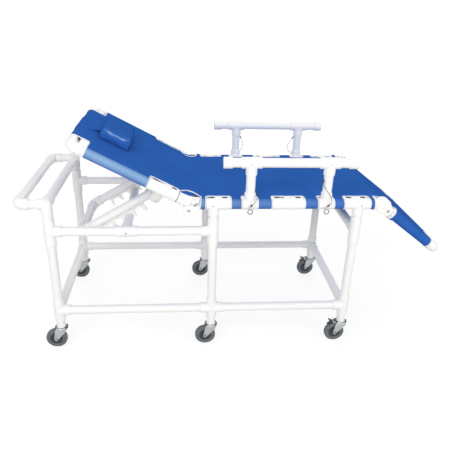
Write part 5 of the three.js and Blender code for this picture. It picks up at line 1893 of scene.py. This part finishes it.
def make_casters():
    """Six casters, two of them with a brake."""
    for end, x in (("head", HEAD_X), ("mid", MID_X), ("foot", FOOT_X)):
        for side, sign in SIDES.items():
            y = sign * TRACK
            label = end + "_" + side
            make_wheel("caster_wheel_" + label, put(x - TRAIL, y, WHEEL_R))
            make_fork("caster_fork_" + label, x, y, end == "foot")
            if end == "foot":
                make_pedal("brake_pedal_" + side, x, y)


# Angles are in degrees and the camera's place is in the layout
CAMERA = {"at": (-0.14581, -2.41286, 1.63417), "yaw": 5.506, "pitch": 25.004, "roll": 2.033, "lens": 40.12}
LAMPS = {
    "key": ((-1.4, -3.1, 2.7), 2.4, 73.0), "fill": ((2.4, -2.6, 2.0), 2.4, 36.0),
    "top": ((0.2, 0.9, 3.8), 3.6, 14.0), "back": ((0.6, 3.0, 2.2), 2.4, 24.0),
}
AIM = Vector((0, 0, 0.6))
# The backdrop's light on the object, its colour, and what is added where it is seen
AMBIENT, AMBIENT_COLOUR, SEEN_MORE = 0.49, (1.0, 0.982, 0.950), 0.56


def make_camera():
    """The camera at the photograph's viewing angle."""
    yaw, pitch, lean = (math.radians(CAMERA[key]) for key in ("yaw", "pitch", "roll"))
    forward = Vector((math.sin(yaw) * math.cos(pitch), math.cos(yaw) * math.cos(pitch), -math.sin(pitch)))
    level = Vector((math.cos(yaw), -math.sin(yaw), 0))
    above = level.cross(forward)
    right = level * math.cos(lean) + above * math.sin(lean)
    up = above * math.cos(lean) - level * math.sin(lean)
    lens = bpy.data.cameras.new("camera")
    lens.lens, lens.sensor_width = CAMERA["lens"], 36.0
    camera = placed("camera", lens)
    turn = Matrix((right, up, -forward)).transposed().to_4x4()
    camera.matrix_world = Matrix.Translation(MIDDLE + Vector(CAMERA["at"])) @ turn
    bpy.context.scene.camera = camera


def seen(board):
    """1 where something is seen, and 0 for the light on the object."""
    rays = [board.node("LightPath", out=f"Is {kind} Ray") for kind in ("Camera", "Glossy", "Transmission")]
    return (rays[0] + rays[1] + rays[2]).clamped(0.0, 1.0)


def make_floor():
    """A floor that looks white and keeps a faint shadow."""
    mesh = bpy.data.meshes.new("floor")
    half, fade_from, fade_rise, fade_most, glow = 14.0, 1.6, 0.08, 0.30, 0.79
    corners = [(-half, -half, 0), (half, -half, 0), (half, half, 0), (-half, half, 0)]
    mesh.from_pydata(corners, [], [(0, 1, 2, 3)])
    floor = placed("floor", mesh)
    board = Board(bpy.data.materials.new("pale_floor"))
    board.set(Base_Color=(0.76, 0.74, 0.71), Roughness=0.9)
    away = board.node("VectorMath", {"operation": "LENGTH"}, board.place(), out="Value")
    fade = ((away - fade_from) * fade_rise).clamped(0.0, fade_most)
    glowing = board.node("Emission", {}, Color=(1.0, 1.0, 1.0), Strength=fade + glow)
    faint = board.node("BsdfDiffuse", {}, Color=(0.26, 0.26, 0.26))
    white = board.node("AddShader", {}, faint, glowing)
    shown = board.node("MixShader", {}, seen(board), Wire(board, board.shader.outputs[0]), white)
    board.feed(board.tree.nodes["Material Output"].inputs["Surface"], shown)
    mesh.materials.append(board.owner)


def make_world():
    """A white backdrop that lights the object only faintly."""
    world = bpy.data.worlds.new("studio")
    bpy.context.scene.world = world
    board = Board(world, "Background")
    board.set(Color=AMBIENT_COLOUR, Strength=seen(board) * SEEN_MORE + AMBIENT)


def make_lamps():
    """Soft square lamps that face the stretcher."""
    for name, (at, size, power) in LAMPS.items():
        light = bpy.data.lights.new(name, "AREA")
        light.size, light.energy = size, power
        made = placed(name, light)
        made.visible_camera = False
        at = Vector(at)
        made.matrix_world = Matrix.Translation(at) @ (AIM - at).to_track_quat("-Z", "Y").to_matrix().to_4x4()


# Operators, one for each group of like pieces
class STRETCHER_OT_stage(bpy.types.Operator):
    """Camera, pale floor, backdrop and lamps"""

    bl_idname = "stretcher.stage"
    bl_label = "Stage"

    def execute(self, context):
        make_camera()
        make_floor()
        make_world()
        make_lamps()
        return {"FINISHED"}


class STRETCHER_OT_lanyards(bpy.types.Operator):
    """Four cables that hang from the side rails to their pins, with their ferrules"""

    bl_idname = "stretcher.lanyards"
    bl_label = "Lanyards"

    def execute(self, context):
        make_lanyards()
        return {"FINISHED"}


class STRETCHER_OT_legs(bpy.types.Operator):
    """Six legs, each with the tees that its rails enter"""

    bl_idname = "stretcher.legs"
    bl_label = "Legs"

    def execute(self, context):
        make_legs()
        return {"FINISHED"}


class STRETCHER_OT_rails(bpy.types.Operator):
    """Low and middle rails and the crossbars of the base frame"""

    bl_idname = "stretcher.rails"
    bl_label = "Rails"

    def execute(self, context):
        make_rails()
        return {"FINISHED"}


class STRETCHER_OT_push_handle(bpy.types.Operator):
    """The push bar at the head end, with its elbows"""

    bl_idname = "stretcher.push_handle"
    bl_label = "Push handle"

    def execute(self, context):
        make_push_handle()
        return {"FINISHED"}


class STRETCHER_OT_deck_rails(bpy.types.Operator):
    """The two deck rails with their tees, hinge ends and hinge bolts"""

    bl_idname = "stretcher.deck_rails"
    bl_label = "Deck rails"

    def execute(self, context):
        make_deck_rails()
        return {"FINISHED"}


class STRETCHER_OT_back_section(bpy.types.Operator):
    """The back's pipe frame and the bar that hangs the prop"""

    bl_idname = "stretcher.back_section"
    bl_label = "Back section"

    def execute(self, context):
        make_back_frame()
        make_hanger_bar()
        return {"FINISHED"}


class STRETCHER_OT_prop(bpy.types.Operator):
    """The prop that holds the back up, with its toothed racks"""

    bl_idname = "stretcher.prop"
    bl_label = "Prop"

    def execute(self, context):
        make_prop()
        make_racks()
        return {"FINISHED"}


class STRETCHER_OT_leg_section(bpy.types.Operator):
    """The pipe frame of the leg section"""

    bl_idname = "stretcher.leg_section"
    bl_label = "Leg section"

    def execute(self, context):
        make_leg_section()
        return {"FINISHED"}


class STRETCHER_OT_side_rails(bpy.types.Operator):
    """The drop-down side rails with their posts and detent pins"""

    bl_idname = "stretcher.side_rails"
    bl_label = "Side rails"

    def execute(self, context):
        make_side_rails()
        return {"FINISHED"}


class STRETCHER_OT_sling(bpy.types.Operator):
    """The blue sling with its bindings, seams, patches of painted shadow and strap"""

    bl_idname = "stretcher.sling"
    bl_label = "Sling"

    def execute(self, context):
        make_sling()
        return {"FINISHED"}


class STRETCHER_OT_cushion(bpy.types.Operator):
    """The stuffed head cushion with its piped seam"""

    bl_idname = "stretcher.cushion"
    bl_label = "Head cushion"

    def execute(self, context):
        make_cushion()
        return {"FINISHED"}


class STRETCHER_OT_screws(bpy.types.Operator):
    """The screws that lock the fittings on the pipes"""

    bl_idname = "stretcher.screws"
    bl_label = "Screws"

    def execute(self, context):
        make_screws()
        return {"FINISHED"}


class STRETCHER_OT_casters(bpy.types.Operator):
    """Six swivel casters, two of them with a foot brake"""

    bl_idname = "stretcher.casters"
    bl_label = "Casters"

    def execute(self, context):
        make_casters()
        return {"FINISHED"}


MAKERS = (
    STRETCHER_OT_stage,
    STRETCHER_OT_lanyards,
    STRETCHER_OT_legs,
    STRETCHER_OT_rails,
    STRETCHER_OT_push_handle,
    STRETCHER_OT_deck_rails,
    STRETCHER_OT_back_section,
    STRETCHER_OT_prop,
    STRETCHER_OT_leg_section,
    STRETCHER_OT_side_rails,
    STRETCHER_OT_sling,
    STRETCHER_OT_cushion,
    STRETCHER_OT_screws,
    STRETCHER_OT_casters,
)


class STRETCHER_PT_pieces(bpy.types.Panel):
    """Lists the stretcher's pieces, sizes and colours in the sidebar"""

    bl_idname = "STRETCHER_PT_pieces"
    bl_label = "Transport Stretcher"
    bl_space_type = "VIEW_3D"
    bl_region_type = "UI"
    bl_category = "Stretcher"

    def draw(self, context):
        for maker in MAKERS:
            self.layout.operator(maker.bl_idname)
        for group in (context.scene.stretcher_sizes, context.scene.stretcher_colours):
            for name in group.__annotations__:
                self.layout.prop(group, name)


CLASSES = (StretcherSizes, StretcherColours, *MAKERS, STRETCHER_PT_pieces)


def register():
    """Adds the classes and the settings to Blender."""
    for kind in CLASSES:
        bpy.utils.register_class(kind)
    bpy.types.Scene.stretcher_sizes = bpy.props.PointerProperty(type=StretcherSizes)
    bpy.types.Scene.stretcher_colours = bpy.props.PointerProperty(type=StretcherColours)


def unregister():
    """Takes them out again."""
    del bpy.types.Scene.stretcher_colours
    del bpy.types.Scene.stretcher_sizes
    for kind in reversed(CLASSES):
        bpy.utils.unregister_class(kind)


def main():
    """Makes the stretcher."""
    register()
    bpy.context.scene.view_settings.view_transform = "Standard"
    for maker in MAKERS:
        group, name = maker.bl_idname.split(".")
        getattr(getattr(bpy.ops, group), name)()


if __name__ == "__main__":
    main()
